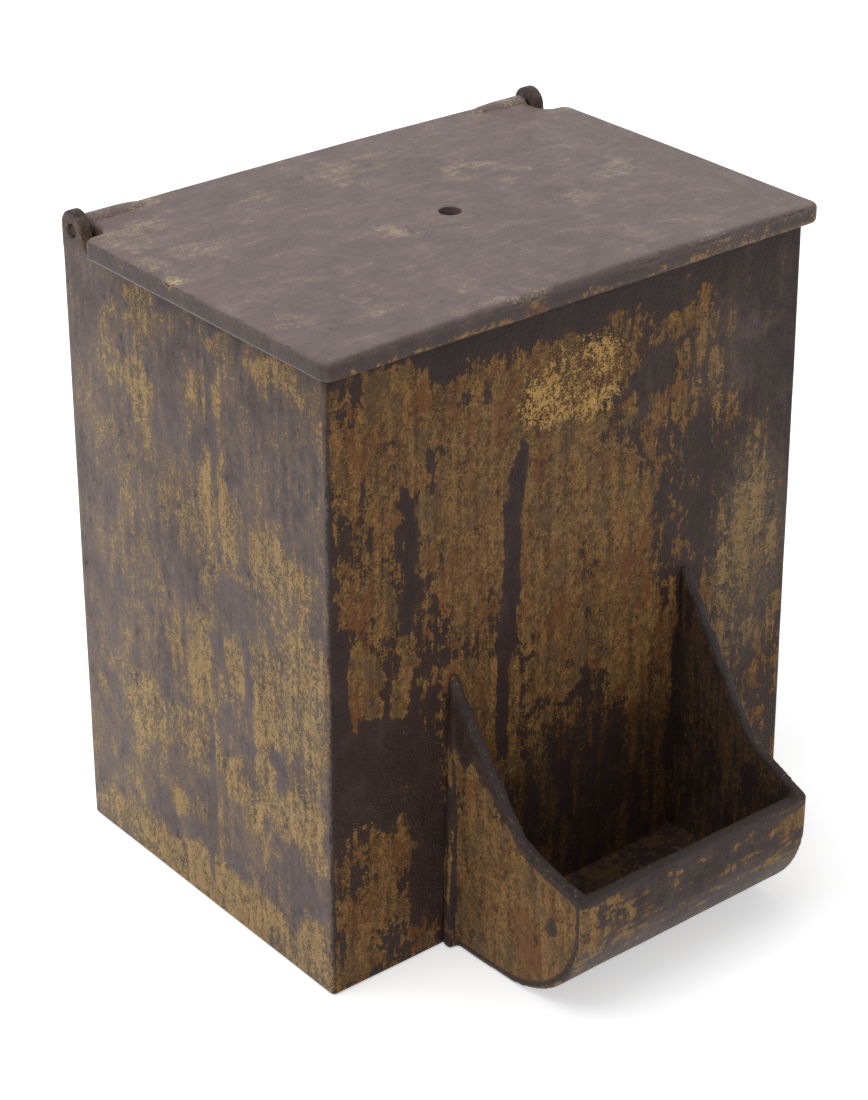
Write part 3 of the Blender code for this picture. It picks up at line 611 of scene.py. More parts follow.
LEFT_PATCHES = [
    (35, 138, 18, 8, 0.22), (6, 141, 40, 3, 0.14), (5, 130, 8, 4, 0.20), (-20, 138, 8, 7, 0.24),
    (-31, 137, 5, 7, 0.18), (-19, 120, 5, 16, 0.26), (-29, 121, 4, 12, 0.14), (-27, 106, 8, 9, 0.16),
    (8, 107, 9, 11, 0.34), (2, 96, 18, 12, 0.24), (28, 99, 12, 13, 0.28), (37, 95, 8, 9, 0.16),
    (8, 124, 3, 12, 0.14), (-22, 82, 5, 8, 0.16), (-30, 78, 5, 5, 0.12), (-9, 63, 5, 12, 0.26),
    (0, 68, 6, 20, 0.26), (24, 62, 9, 20, 0.40), (40, 70, 12, 26, 0.28), (14, 66, 5, 12, 0.28),
    (2, 46, 5, 12, 0.20), (-22, 40, 10, 12, 0.28), (-4, 42, 8, 8, 0.18), (20, 38, 11, 13, 0.32),
    (37, 38, 11, 15, 0.40), (9, 40, 7, 8, 0.20), (-39, 38, 6, 5, 0.22), (-6, 26, 8, 5, 0.20),
    (5, 22, 9, 11, 0.22), (-30, 20, 14, 5, 0.14), (0, 3, 60, 13, 0.36), (-32, 9, 14, 9, 0.14),
    (16, 8, 20, 10, 0.18), (42, 12, 9, 14, 0.20), (-8, 122, 10, 18, -0.14), (-3, 78, 5, 14, -0.24),
    (7, 67, 3.5, 8, -0.40), (9, 49, 4, 6, -0.26), (29, 47, 3.4, 8, -0.60), (25, 33, 3, 8, -0.22),
    (38, 23, 9, 4, -0.40), (15, 83, 11, 5, -0.26), (13, 14, 8, 5, -0.26), (-9, 16, 12, 7, -0.20),
]
LEFT_BRIGHT = [
    (8, 106, 10, 12, 0.16), (36, 38, 14, 18, 0.12), (20, 6, 40, 12, 0.12),
]
LEFT_RUNS = [
    [(18.3, 75, 0.2), (18.6, 64, 0.5), (18.9, 48, 0.2)], [(7, 138, 0.1), (8, 118, 0.2), (8, 92, 0.1)],
    [(4, 50, 0.1), (3.4, 24, 0.3), (1.5, 2, 0.1)],
]
LID_PATCHES = [
    (-57, 28, 12, 9, 0.20), (-26, 33, 14, 5, 0.16), (-2, 30, 9, 10, 0.20), (12, 32, 14, 3, 0.14),
    (20, 15, 9, 7, 0.20), (12, 9, 6, 2, 0.12), (-52, 14, 7, 9, 0.12), (28, 2, 8, 4, 0.10),
    (50, -8, 8, 9, 0.16), (26, -14, 8, 5, 0.14), (-14, -5, 10, 2.5, 0.24), (-60, -30, 6, 8, 0.14),
    (-45, -33, 8, 3, 0.12), (-16, -47, 26, 3, 0.22), (4, -27, 14, 4, 0.06), (-64, 16, 5, 14, 0.16),
]
# The tray's panel: across, distance below the lip, reach, reach down, amount
PANEL_PATCHES = [
    (-35, 9, 8, 13, 0.40), (-26, 7, 18, 10, 0.20), (-22, 14, 14, 4, 0.14), (3, 14, 16, 3, 0.20),
    (22, 15, 9, 3, 0.14), (31, 8, 8, 9, 0.34), (20, 5, 13, 3, 0.18),
]


# Walls

# Cells of the walls' grid: rows up the outer and the inner skin, columns across the front and the sides
OUTER_ROWS, INNER_ROWS = 88, 20
FRONT_COLUMNS, SIDE_COLUMNS = 84, 58
RIM_ROUND, BOSS_ROUND, EAR_ROUND, INNER_CORNER = 0.0006, 0.0006, 0.00045, 0.0008
# The ears: thickness, how far inside the wall's middle they begin, depth of the root, radius of the pin hole
EAR_THICKNESS, EAR_INSET, EAR_ROOT, EAR_HOLE = 0.0028, 0.0014, 0.0015, 0.0015


def wall_skin(shape, sizes, inset, radius, rows):
    """One skin of the walls: four faces with round upright edges, cut into level rows."""
    made = bmesh.ops.create_cube(shape, size=1)["verts"]
    foot_half, rim_half = BODY_HIGH.x, sizes.rim_width / 2
    for vertex in made:
        side = 1 if vertex.co.x > 0 else -1
        end = 1 if vertex.co.y > 0 else -1
        top = vertex.co.z > 0
        half = (rim_half if top else foot_half) - inset
        vertex.co = (side * half, end * (HALF_DEPTH - inset), sizes.rim_height if top else 0)
    faces = {face for vertex in made for face in vertex.link_faces}
    caps = [face for face in faces if len({round(v.co.z, 4) for v in face.verts}) == 1]
    bmesh.ops.delete(shape, geom=caps, context="FACES_ONLY")
    edges = {edge for vertex in made for edge in vertex.link_edges}
    rounded = bevel(shape, [edge for edge in edges if climb(edge) > sizes.wall], radius, 4)
    edges = {edge for vertex in rounded["verts"] for edge in vertex.link_edges}
    tall = [edge for edge in edges if climb(edge) > sizes.wall]
    bmesh.ops.subdivide_edges(shape, edges=tall, cuts=rows, use_grid_fill=True)


def grid_walls(shape, axis, cuts):
    """Cut the long level edges that run along one axis."""
    level = []
    for edge in shape.edges:
        span = edge.verts[0].co - edge.verts[1].co
        if abs(span[axis]) > 20 * MM:
            level.append(edge)
    bmesh.ops.subdivide_edges(shape, edges=level, cuts=cuts, use_grid_fill=True)


def close_end(shape, height, half, wall, lift):
    """Join the two skins of the walls where they end at one height."""
    outer, inner = [], []
    for edge in shape.edges:
        if edge.is_boundary and all(abs(vertex.co.z - height) < TOUCH for vertex in edge.verts):
            ends = [vertex.co for vertex in edge.verts]
            outside = any(abs(end.y) > HALF_DEPTH - wall / 2 or abs(end.x) > half - wall / 2 for end in ends)
            (outer if outside else inner).append(edge)
    # Two loops in one plane would be joined crosswise, so the inner one is lifted meanwhile
    lifted = list({vertex for edge in inner for vertex in edge.verts})
    bmesh.ops.translate(shape, verts=lifted, vec=(0, 0, lift))
    bmesh.ops.bridge_loops(shape, edges=outer + inner)
    bmesh.ops.translate(shape, verts=lifted, vec=(0, 0, -lift))


def make_ear(shape, sizes, sign):
    """An ear with its pin hole: a ring between its outline and the hole, given thickness."""
    radius, rim = sizes.ear_radius, sizes.rim_height
    centre_z = rim + sizes.ear_rise - radius
    front, back, root = PIVOT_Y - radius, PIVOT_Y + radius, rim - EAR_ROOT
    outline = []
    for step in range(17):
        angle = pi * step / 16
        outline.append((PIVOT_Y + radius * cos(angle), centre_z + radius * sin(angle)))
    # Down the front with a fillet to the rim, along the root, and up the straight back
    outline += [(front - 0.0002, centre_z - 0.0014), (front - 0.0008, rim + 0.0012), (front - 0.0016, rim)]
    outline += [(front - 0.0016, root), (PIVOT_Y, root), (back, root)]
    outline += [(back, rim + 0.0012), (back, centre_z - 0.0012)]
    inner = sign * ((sizes.rim_width - sizes.wall) / 2 - EAR_INSET)
    edge_line = [shape.verts.new((inner, y, z)) for y, z in outline]
    edges = [shape.edges.new((edge_line[index - 1], edge_line[index])) for index in range(len(edge_line))]
    turn = Matrix.Translation((inner, PIVOT_Y, PIVOT_Z)) @ Matrix.Rotation(pi / 2, 4, "Y")
    hole = bmesh.ops.create_circle(shape, segments=len(edge_line), radius=EAR_HOLE, matrix=turn)["verts"]
    edges += list({edge for vertex in hole for edge in vertex.link_edges})
    ring = bmesh.ops.bridge_loops(shape, edges=edges)["faces"]
    moved = grow(shape, ring, (sign * EAR_THICKNESS, 0, 0))
    ear = {face for vertex in edge_line + hole + moved for face in vertex.link_faces}
    bmesh.ops.recalc_face_normals(shape, faces=list(ear))
    edges = {edge for face in ear for edge in face.edges}
    bevel(shape, [edge for edge in edges if edge.calc_face_angle(0) > SHARP], EAR_ROUND, 3)


def make_boss(shape, sizes, screw):
    """A round boss in a corner of the foot, round one of the bottom screws."""
    low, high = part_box(screw)
    middle = (low + high) / 2
    waist = PLATE_HIGH.z + sizes.boss_clearance + sizes.boss_height / 2
    made = bmesh.ops.create_cone(
        shape,
        cap_ends=True,
        segments=32,
        radius1=sizes.boss_radius,
        radius2=sizes.boss_radius,
        depth=sizes.boss_height,
        matrix=Matrix.Translation((middle.x, middle.y, waist)),
    )["verts"]
    edges = {edge for vertex in made for edge in vertex.link_edges}
    top = [edge for edge in edges if all(vertex.co.z > waist for vertex in edge.verts)]
    bevel(shape, top, BOSS_ROUND, 3)


class CIGARBOX_OT_walls(bpy.types.Operator):
    """Build the four walls in one casting, with the two hinge ears"""

    bl_idname = "cigar_box.walls"
    bl_label = "Walls"

    def execute(self, context):
        sizes = context.scene.cigar_box_sizes
        wall, rim_half = sizes.wall, sizes.rim_width / 2
        shape = bmesh.new()
        wall_skin(shape, sizes, 0, sizes.corner_radius, OUTER_ROWS)
        wall_skin(shape, sizes, wall, INNER_CORNER, INNER_ROWS)
        grid_walls(shape, 0, FRONT_COLUMNS)
        grid_walls(shape, 1, SIDE_COLUMNS)
        close_end(shape, 0, BODY_HIGH.x, wall, -wall)
        close_end(shape, sizes.rim_height, rim_half, wall, wall)
        bmesh.ops.recalc_face_normals(shape, faces=shape.faces)
        bevel(shape, level_arrises(shape), RIM_ROUND, 3)
        sink_unevenly(shape, sizes.unevenness, [(0.028, 0.7), (0.009, 0.35)])
        for sign in (-1, 1):
            make_ear(shape, sizes, sign)
        for name in frame["nodes"]:
            if name.startswith("bottom_screw"):
                make_boss(shape, sizes, name)
        # Everything behind the outer skin and below the rim has the finish of the inside
        for face in shape.faces:
            middle = face.calc_center_median()
            half = BODY_HIGH.x + (rim_half - BODY_HIGH.x) * middle.z / sizes.rim_height
            hidden = abs(middle.y) < HALF_DEPTH - wall / 2 and abs(middle.x) < half - wall / 2
            if hidden and middle.z < sizes.rim_height - wall / 2:
                face.material_index = 1
        finishes = context.scene.cigar_box_finishes
        obj = as_object(
            "walls_and_ears", shape, [get_finish(finishes, "bronze"), get_finish(finishes, "inside")]
        )
        self.paint(obj, sizes)
        finish_piece(obj, "box", "bronze_painted_iron", "box_body")
        return {"FINISHED"}

    def paint(self, obj, sizes):
        """Say at each vertex how much paint is left, how bright it is and how far it is rubbed."""
        rows = []
        for vertex in obj.data.vertices:
            x, y, z = (c / MM for c in vertex.co)
            dirt = 0
            half = abs(x) / (sizes.rim_width / 2 / MM + FLARE * (1 - z / RIM))
            deep = abs(y) / (HALF_DEPTH / MM)
            slow = drift(vertex.co, 0.016, 3)
            if deep >= half and y < 0:
                u, v = warped(vertex.co, x, z)
                amount = 0.48 + patch_field(u, v, FRONT_PATCHES) + 0.08 * slow
                amount -= 0.9 * run_field(x, z, FRONT_RUNS)
                shine = patch_field(x, z, FRONT_BRIGHT)
                bleach_and_sheen = patch_field(x, z, FRONT_FADED)
                # Dirt behind and above the tray
                dirt = 0.85 * ease((60 - v) / 34) * ease((36 - abs(u)) / 6)
            elif x < 0 and deep < half:
                u, v = warped(vertex.co, -y, z)
                amount = 0.28 + 1.15 * patch_field(u, v, LEFT_PATCHES) + 0.08 * slow
                amount -= 0.06 * ease((y - 26) / 8) + 0.7 * run_field(-y, z, LEFT_RUNS)
                shine = 0.08 + patch_field(-y, z, LEFT_BRIGHT)
                # The left side is paler than the front: partly bleaching, partly painted sheen where that
                # face catches the light
                bleach_and_sheen = 0.54 + 0.18 * ease((y - 8) / 26) - 0.14 * ease((z - 108) / 36) + 0.1 * slow
            else:
                # The right side and the back, which the photo does not show
                amount = 0.40 + 0.3 * slow + 0.25 * drift(vertex.co, 0.035, 9)
                amount += 0.2 * ease((14 - z) / 14)
                shine = 0.2 + 0.3 * drift(vertex.co, 0.02, 5)
                bleach_and_sheen = 0.5
            if z > RIM + 0.2:
                amount, shine, bleach_and_sheen = 0.3, 0.2, 0.3
            edge_wear = ease(1 - (HALF_DEPTH / MM - abs(y)) / 2.0) * ease((half - 0.965) / 0.03)
            top_wear = ease((z - RIM - 6.4) / 1.2)
            rows.append((amount, max(0, shine), bleach_and_sheen, dirt, max(0.62 * edge_wear, 0.6 * top_wear)))
        mark_paint(obj, rows)


# Lid

# How far the plate's back edge stays in front of the walls' back, and its cells
BACK_GAP = 0.0016
LID_CELL, LID_ROW = 0.0024, 0.0007
FRONT_CORNER, HEEL_ROUND, HOLE_ROUND = 0.0028, 0.0027, 0.00035
OUTER_NOTCH_CORNER, INNER_NOTCH_CORNER = 0.0026, 0.003
# Width left round the knob's hole for the square that is drawn to a circle
HOLE_MARGIN = 0.0008
# A knuckle's outline: distance from the ear, radius
KNUCKLE_LINE = [
    (0, 0.0), (0, 0.0024), (0.0005, 0.0029), (0.0012, 0.003), (0.009, 0.003),
    (0.0125, 0.0028), (0.0155, 0.0023), (0.0180, 0.0017), (0.0192, 0.0012), (0.0192, 0.0),
]
KNUCKLE_GAP = 0.00015


class CIGARBOX_OT_lid(bpy.types.Operator):
    """Build the crowned lid with its notches, knuckles and the hole of its knob"""

    bl_idname = "cigar_box.lid"
    bl_label = "Lid"

    def execute(self, context):
        sizes = context.scene.cigar_lid_sizes
        underside = LID_LOW.z
        back = HALF_DEPTH - BACK_GAP
        shape = bmesh.new()
        right = [
            (sizes.half_width, LID_LOW.y),
            (sizes.half_width + sizes.spread, sizes.notch_front),
            (sizes.notch_side, sizes.notch_front),
            (sizes.notch_side, back),
        ]
        left = [(-x, y) for x, y in reversed(right)]
        base = shape.faces.new([shape.verts.new((x, y, underside)) for x, y in right + left])
        grow(shape, [base], (0, 0, sizes.thickness))
        bmesh.ops.recalc_face_normals(shape, faces=shape.faces)
        self.round_uprights(shape, sizes)
        heel = []
        for edge in shape.edges:
            ends = [vertex.co for vertex in edge.verts]
            if all(end.y > HALF_DEPTH - 0.002 and end.z < underside + 0.001 for end in ends):
                heel.append(edge)
        bevel(shape, heel, HEEL_ROUND, 6)
        bevel(shape, level_arrises(shape), sizes.arris, 4, clamp=False)
        gap = sizes.hole_radius + HOLE_MARGIN
        for axis, low, middle, high in (
            (0, -sizes.half_width, KNOB_X, sizes.half_width),
            (1, LID_LOW.y, KNOB_Y, back),
        ):
            places = spaced(low, middle - gap, LID_CELL) + [middle - gap, middle + gap]
            slice_at(shape, axis, places + spaced(middle + gap, high, LID_CELL))
        top = underside + sizes.thickness
        slice_at(shape, 2, spaced(underside + sizes.arris, top - sizes.arris, LID_ROW))
        self.bore(shape, sizes, gap)
        sink_unevenly(shape, 0.0003, [(0.03, 0.75), (0.008, 0.3)])
        for vertex in shape.verts:
            share = min(1, max(0, (vertex.co.z - underside) / sizes.thickness))
            vertex.co.z += sizes.crown * share * max(0, 1 - (vertex.co.x / sizes.half_width) ** 2)
        for sign in (-1, 1):
            self.knuckle(shape, sizes, sign)
        obj = as_object("lid_plate", shape, [get_finish(context.scene.cigar_box_finishes, "japan")])
        self.paint(obj, sizes)
        finish_piece(obj, "lid", "dark_japanned_iron", "lid")
        return {"FINISHED"}

    def round_uprights(self, shape, sizes):
        """Round the plate's front corners, then the outer and the inner corners of its notches."""
        fronts = [edge for edge in shape.edges if climb(edge) > TOUCH and edge.verts[0].co.y < 0]
        bevel(shape, fronts, FRONT_CORNER, 6)
        for place, radius in (
            (sizes.half_width + sizes.spread, OUTER_NOTCH_CORNER),
            (sizes.notch_side, INNER_NOTCH_CORNER),
        ):
            corners = []
            for edge in shape.edges:
                start = edge.verts[0].co
                away = max(abs(start.y - sizes.notch_front), abs(abs(start.x) - place))
                if climb(edge) > TOUCH and away < 10 * TOUCH:
                    corners.append(edge)
            bevel(shape, corners, radius, 5)

    def bore(self, shape, sizes, gap):
        """Open the square round the knob's hole, top and bottom, and draw it to a circle."""
        rings = []
        for height, lift in ((LID_LOW.z, -MM), (LID_LOW.z + sizes.thickness, MM)):
            for face in shape.faces:
                middle = face.calc_center_median()
                near = abs(middle.x - KNOB_X) < gap / 2 and abs(middle.y - KNOB_Y) < gap / 2
                if near and abs(middle.z - height) < 10 * TOUCH:
                    square = face
            edges = square.edges[:]
            bmesh.ops.delete(shape, geom=[square], context="FACES_ONLY")
            cut = bmesh.ops.subdivide_edges(shape, edges=edges, cuts=7)
            around = [item for item in cut["geom_inner"] if isinstance(item, bmesh.types.BMVert)]
            loop = {edge for vertex in around for edge in vertex.link_edges if edge.is_boundary}
            # Two loops in one plane would be joined crosswise, so the circle is lifted meanwhile
            turn = Matrix.Translation((KNOB_X, KNOB_Y, height + lift)) @ Matrix.Rotation(pi / 4, 4, "Z")
            circle = bmesh.ops.create_circle(shape, segments=32, radius=sizes.hole_radius, matrix=turn)
            hole = {edge for vertex in circle["verts"] for edge in vertex.link_edges}
            bmesh.ops.bridge_loops(shape, edges=list(loop | hole))
            bmesh.ops.translate(shape, verts=circle["verts"], vec=(0, 0, -lift))
            rings.append([edge for edge in hole if edge.is_valid])
        bmesh.ops.bridge_loops(shape, edges=rings[0] + rings[1])
        bmesh.ops.recalc_face_normals(shape, faces=shape.faces)
        bevel(shape, rings[1], HOLE_ROUND, 2)

    def knuckle(self, shape, sizes, sign):
        """A barrel beside the ear that tapers away into the plate."""
        outer = sizes.notch_side + KNUCKLE_GAP
        places = [(sign * (outer - along), PIVOT_Y, PIVOT_Z + radius) for along, radius in KNUCKLE_LINE]
        turn_line(shape, places, (0, PIVOT_Y, PIVOT_Z), (1, 0, 0), 32)
        # Everything inside the barrel's outline, with a little to spare
        reach = outer - KNUCKLE_LINE[-1][0] - 0.0001
        barrel = []
        for vertex in shape.verts:
            beside = abs(vertex.co.x) > reach and vertex.co.x * sign > 0
            if beside and hypot(vertex.co.y - PIVOT_Y, vertex.co.z - PIVOT_Z) < 0.00305:
                barrel.append(vertex)
        bmesh.ops.remove_doubles(shape, verts=barrel, dist=TOUCH)
        faces = {face for vertex in barrel if vertex.is_valid for face in vertex.link_faces}
        bmesh.ops.recalc_face_normals(shape, faces=list(faces))

    def paint(self, obj, sizes):
        """Faint tan smudges on top, gold along the lower front edge, grey on the rubbed arrises, and a
        painted highlight along the lower arris of each side.
        """
        rows = []
        half, front = sizes.half_width / MM, LID_LOW.y / MM
        top, thickness = (LID_LOW.z + sizes.thickness) / MM, sizes.thickness / MM
        for vertex in obj.data.vertices:
            x, y, z = (c / MM for c in vertex.co)
            slow = drift(vertex.co, 0.014, 7)
            u, v = warped(vertex.co, x, y)
            amount = 0.06 + 1.9 * patch_field(u, v, LID_PATCHES) + 0.07 * slow
            below = (top - z) / thickness
            edge_of_front = ease((front + 1.6 - y) / 1.6)
            edge_of_side = ease((abs(x) - half + 1.6) / 1.6)
            if below > 0.12:
                amount += edge_of_front * (0.22 + 0.26 * ease((below - 0.45) / 0.4) + 0.2 * slow)
                amount += edge_of_side * 0.04
            if 42 < abs(x) < 62 and y > 40 and z > top - 0.2:
                # The knuckles
                amount = 0.34
            # A chip in the left edge that shows gold
            chip = ease(2 - hypot(x + 66.6, y - 2.2) / 1.6) * (1 - ease((below - 0.15) / 0.25))
            corner = max(edge_of_front, edge_of_side)
            wiped = (0.45 * corner + 0.22 * edge_of_front + 0.14 * edge_of_side) * ease((below - 0.1) / 0.2)
            bleach_and_sheen = 0.74 + 0.12 * slow + 0.08 * ease((x - 10) / 40) - wiped
            # A thin pale line along the lower arris of each side is a painted highlight, where the arris
            # catches the light; it goes in with the real wear of the arrises
            glint = 1.4 * edge_of_side * ease((below - 0.74) / 0.08) * ease((0.94 - below) / 0.06)
            wear_and_highlight = max(glint, 0.6 * corner * ease((0.12 - abs(below - 0.12)) / 0.08))
            rows.append((max(amount, 0.7 * chip), max(0.8 * chip, 0.12 * max(0, slow)), bleach_and_sheen, 0, wear_and_highlight))
        mark_paint(obj, rows)


# Match tray

# Each cheek's outline: its height at the wall, then the reach and height of the knee where it turns flat
RIGHT_CHEEK, LEFT_CHEEK = (0.072, 0.0247, 0.0373), (0.069, 0.0223, 0.0363)
# How softly the knee bends, and the length of one scallop
KNEE_BEND, SCALLOP_LENGTH = 0.0015, 0.0088
CHEEK_STEPS = 44
TRAY_CELL, MELT_CELL = 0.003, 0.0005
OUTER_ROUND, INNER_ROUND, BEAD_ROUND = 0.0018, 0.0010, 0.0007
# The bead of a cheek: how far it stands out sideways and forwards, at its foot and at its top
BEAD_FOOT, BEAD_TOP = (0.002, 0.0026), (0.0001, 0.0012)
# How far the bead ends below the cheek's point
BEAD_DROP = 0.0025


def cheek_height(reach, sizes, right):
    """Height of a cheek's upper edge at a reach from the wall: steep and scalloped, a knee, then flat."""
    apex, knee_reach, knee_height = RIGHT_CHEEK if right else LEFT_CHEEK
    steep = (apex - knee_height) / knee_reach
    gentle = (knee_height - sizes.lip_height) / (sizes.reach - knee_reach)
    upper = apex - steep * reach
    lower = sizes.lip_height + gentle * (sizes.reach - reach)
    height = (upper + lower) / 2 + sqrt(((upper - lower) / 2) ** 2 + KNEE_BEND**2)
    run = reach * sqrt(1 + steep**2)
    fade = sqrt(max(0, 1 - reach / knee_reach))
    return height + fade * sizes.scallop * (cos(tau * run / SCALLOP_LENGTH) - 1)


class CIGARBOX_OT_tray(bpy.types.Operator):
    """Build the match tray: two scalloped cheeks, a bent front panel and the beads at the wall"""

    bl_idname = "cigar_box.tray"
    bl_label = "Match tray"

    def execute(self, context):
        sizes = context.scene.cigar_tray_sizes
        half = sizes.half_width
        shape = bmesh.new()
        self.blank(shape, sizes)
        self.hollow(shape, sizes)
        for axis, low, high in ((2, 0, RIGHT_CHEEK[0]), (1, TRAY_LOW.y, TRAY_BACK), (0, -half, half)):
            slice_at(shape, axis, spaced(low, high, TRAY_CELL))
        # The tray is narrower at its lip
        for vertex in shape.verts:
            share = (TRAY_BACK - vertex.co.y) / sizes.reach
            change = (half - sizes.lip_half_width) * share
            vertex.co.x -= change * max(-1, min(1, vertex.co.x / (half - sizes.cheek)))
        sink_unevenly(shape, 0.0002, [(0.016, 0.6), (0.006, 0.5)])
        for sign in (-1, 1):
            self.bead(shape, sizes, sign)
        obj = as_object("tray_casting", shape, [get_finish(context.scene.cigar_box_finishes, "bronze")])
        self.soften(context, obj)
        # The back edges meet the wall, so that no light comes through between them
        for vertex in obj.data.vertices:
            near = ease((vertex.co.y - TRAY_BACK) / MM + 1)
            vertex.co.y += near * (BODY_LOW.y - TRAY_BACK + sizes.seat)
        self.paint(obj, sizes)
        finish_piece(obj, "box", "bronze_painted_iron", "match_tray")
        return {"FINISHED"}

    def blank(self, shape, sizes):
        """The tray as an open skin: two cheeks and the strip that bends from its foot to its lip."""
        front = TRAY_BACK - sizes.reach
        outline = [(TRAY_BACK, 0), (front, 0), (front, sizes.lip_height)]
        for step in range(1, CHEEK_STEPS + 1):
            reach = sizes.reach * (1 - step / CHEEK_STEPS)
            outline.append((TRAY_BACK - reach, cheek_height(reach, sizes, False)))
        left = shape.faces.new([shape.verts.new((-sizes.half_width, y, z)) for y, z in outline])
        for vertex in grow(shape, [left], (2 * sizes.half_width, 0, 0)):
            if vertex.co.z > sizes.lip_height + TOUCH:
                vertex.co.z = cheek_height(TRAY_BACK - vertex.co.y, sizes, True)
        open_faces = []
        for strip in shape.faces:
            above = all(vertex.co.z > sizes.lip_height - TOUCH for vertex in strip.verts)
            behind = all(vertex.co.y > TRAY_BACK - TOUCH for vertex in strip.verts)
            if len(strip.verts) == 4 and (above or behind):
                open_faces.append(strip)
        bmesh.ops.delete(shape, geom=open_faces, context="FACES_ONLY")
        bmesh.ops.recalc_face_normals(shape, faces=shape.faces)
        lower_front = []
        for edge in shape.edges:
            ends = [vertex.co for vertex in edge.verts]
            if all(abs(end.y - front) < TOUCH and abs(end.z) < TOUCH for end in ends):
                lower_front.append(edge)
        bevel(shape, lower_front, sizes.bend_radius, 14)

    def hollow(self, shape, sizes):
        """Give the skin its thickness inwards, then round its corners."""
        bmesh.ops.recalc_face_normals(shape, faces=shape.faces)
        if sum(face.normal.y * face.calc_area() for face in shape.faces) >= 0:
            bmesh.ops.reverse_faces(shape, faces=shape.faces)
        bmesh.ops.solidify(shape, geom=shape.faces[:], thickness=sizes.cheek)
        bmesh.ops.recalc_face_normals(shape, faces=shape.faces)
        half, inner_half = sizes.half_width, sizes.half_width - sizes.cheek
        outer, inner = [], []
        for edge in shape.edges:
            if edge.calc_face_angle(0) < radians(50):
                continue
            ends = [vertex.co for vertex in edge.verts]
            sides = [face.normal for face in edge.link_faces]
            across = any(abs(side.x) > 0.9 for side in sides)
            below = any(abs(side.x) < 0.1 and (side.z < -0.02 or side.y < -0.9) for side in sides)
            at_outer = all(abs(abs(end.x) - half) < TOUCH for end in ends)
            at_inner = all(abs(abs(end.x) - inner_half) < 10 * TOUCH for end in ends)
            if at_outer and across and below and edge.is_convex:
                outer.append(edge)
            elif at_inner and across and not edge.is_convex:
                inner.append(edge)
        bevel(shape, outer, OUTER_ROUND, 5)
        bevel(shape, [edge for edge in inner if edge.is_valid], INNER_ROUND, 3)

    def soften(self, context, obj):
        """Melt the parts of the casting together, with the rounded arrises that a sand mould gives."""
        melt = obj.modifiers.new("melt", "REMESH")
        melt.mode = "VOXEL"
        melt.voxel_size = MELT_CELL
        melt.use_smooth_shade = True
        smooth = obj.modifiers.new("smooth", "SMOOTH")
        smooth.factor = 0.5
        smooth.iterations = 4
        graph = context.evaluated_depsgraph_get()
        mesh = bpy.data.meshes.new_from_object(obj.evaluated_get(graph))
        rough = obj.data
        obj.modifiers.clear()
        obj.data = mesh
        bpy.data.meshes.remove(rough)

    def bead(self, shape, sizes, sign):
        """The rib that thickens a cheek where it meets the wall, narrowing upwards."""
        made = bmesh.ops.create_cube(shape, size=1)["verts"]
        top = (RIGHT_CHEEK if sign > 0 else LEFT_CHEEK)[0] - BEAD_DROP
        inner = sizes.half_width - sizes.cheek / 2
        for vertex in made:
            high = vertex.co.z > 0
            aside, forward = BEAD_TOP if high else BEAD_FOOT
            x = sizes.half_width + aside if vertex.co.x * sign > 0 else inner
            y = TRAY_BACK if vertex.co.y > 0 else TRAY_BACK - forward
            vertex.co = (sign * x, y, top if high else 0.0)
        edges = {edge for vertex in made for edge in vertex.link_edges}
        faces = {face for vertex in made for face in vertex.link_faces}
        bmesh.ops.recalc_face_normals(shape, faces=list(faces))
        rounded = bevel(shape, list(edges), BEAD_ROUND, 3)
        edges = {edge for vertex in rounded["verts"] for edge in vertex.link_edges}
        tall = [edge for edge in edges if climb(edge) > top / 2]
        bmesh.ops.subdivide_edges(shape, edges=tall, cuts=36, use_grid_fill=True)

    def paint(self, obj, sizes):
        """Gold-brown cheeks with dark arrises, a dark inside, a dark panel with gold ends and streaks."""
        rows = []
        inner = (sizes.half_width - sizes.cheek * 0.6) / MM
        bend, reach, lip = sizes.bend_radius / MM, sizes.reach / MM, sizes.lip_height / MM
        for vertex in obj.data.vertices:
            x, y, z = (c / MM for c in vertex.co)
            out = TRAY_BACK / MM - y
            slow = drift(vertex.co, 0.01, 4)
            lost = (sizes.half_width - sizes.lip_half_width) / MM * out / reach
            outside = abs(x) + lost > inner
            below_crest = cheek_height(max(0, out) * MM, sizes, x > 0) / MM - z
            # Distance from the skin of the panel and its bend
            around = min(z, reach - out)
            if out > reach - bend and z < bend:
                around = bend - hypot(out - reach + bend, bend - z)
            bleach_and_sheen, dirt = 0.1, 0.0
            if outside and out < 2.6:
                # The beads
                streak = drift((x * MM, y * MM, z * MM * 0.04), 0.0007, 2)
                amount, shine, wear_and_highlight = 0.40 + 0.7 * streak - 0.3 * ease((z - 56) / 10), 0.2, 0.0
            elif outside and around > 0.8:
                # The cheeks
                amount = 0.80 + 0.10 * slow - 0.62 * ease((z - 47 + 0.5 * out) / 9)
                amount -= 0.4 * ease((4 - hypot(out - 32, z - 21)) / 3)
                shine = 0.3 * ease((z - 28) / 5) * ease((35 - z) / 5) + 0.1
                # The crests are rubbed dark; their grey glints are partly bare iron and partly painted
                # highlight along the arrises
                wear_and_highlight = 0.85 * ease((3.0 - below_crest) / 1.6)
                wear_and_highlight = max(wear_and_highlight, 0.8 * ease((2.9 - around) / 1.4))
            elif around < 1.4:
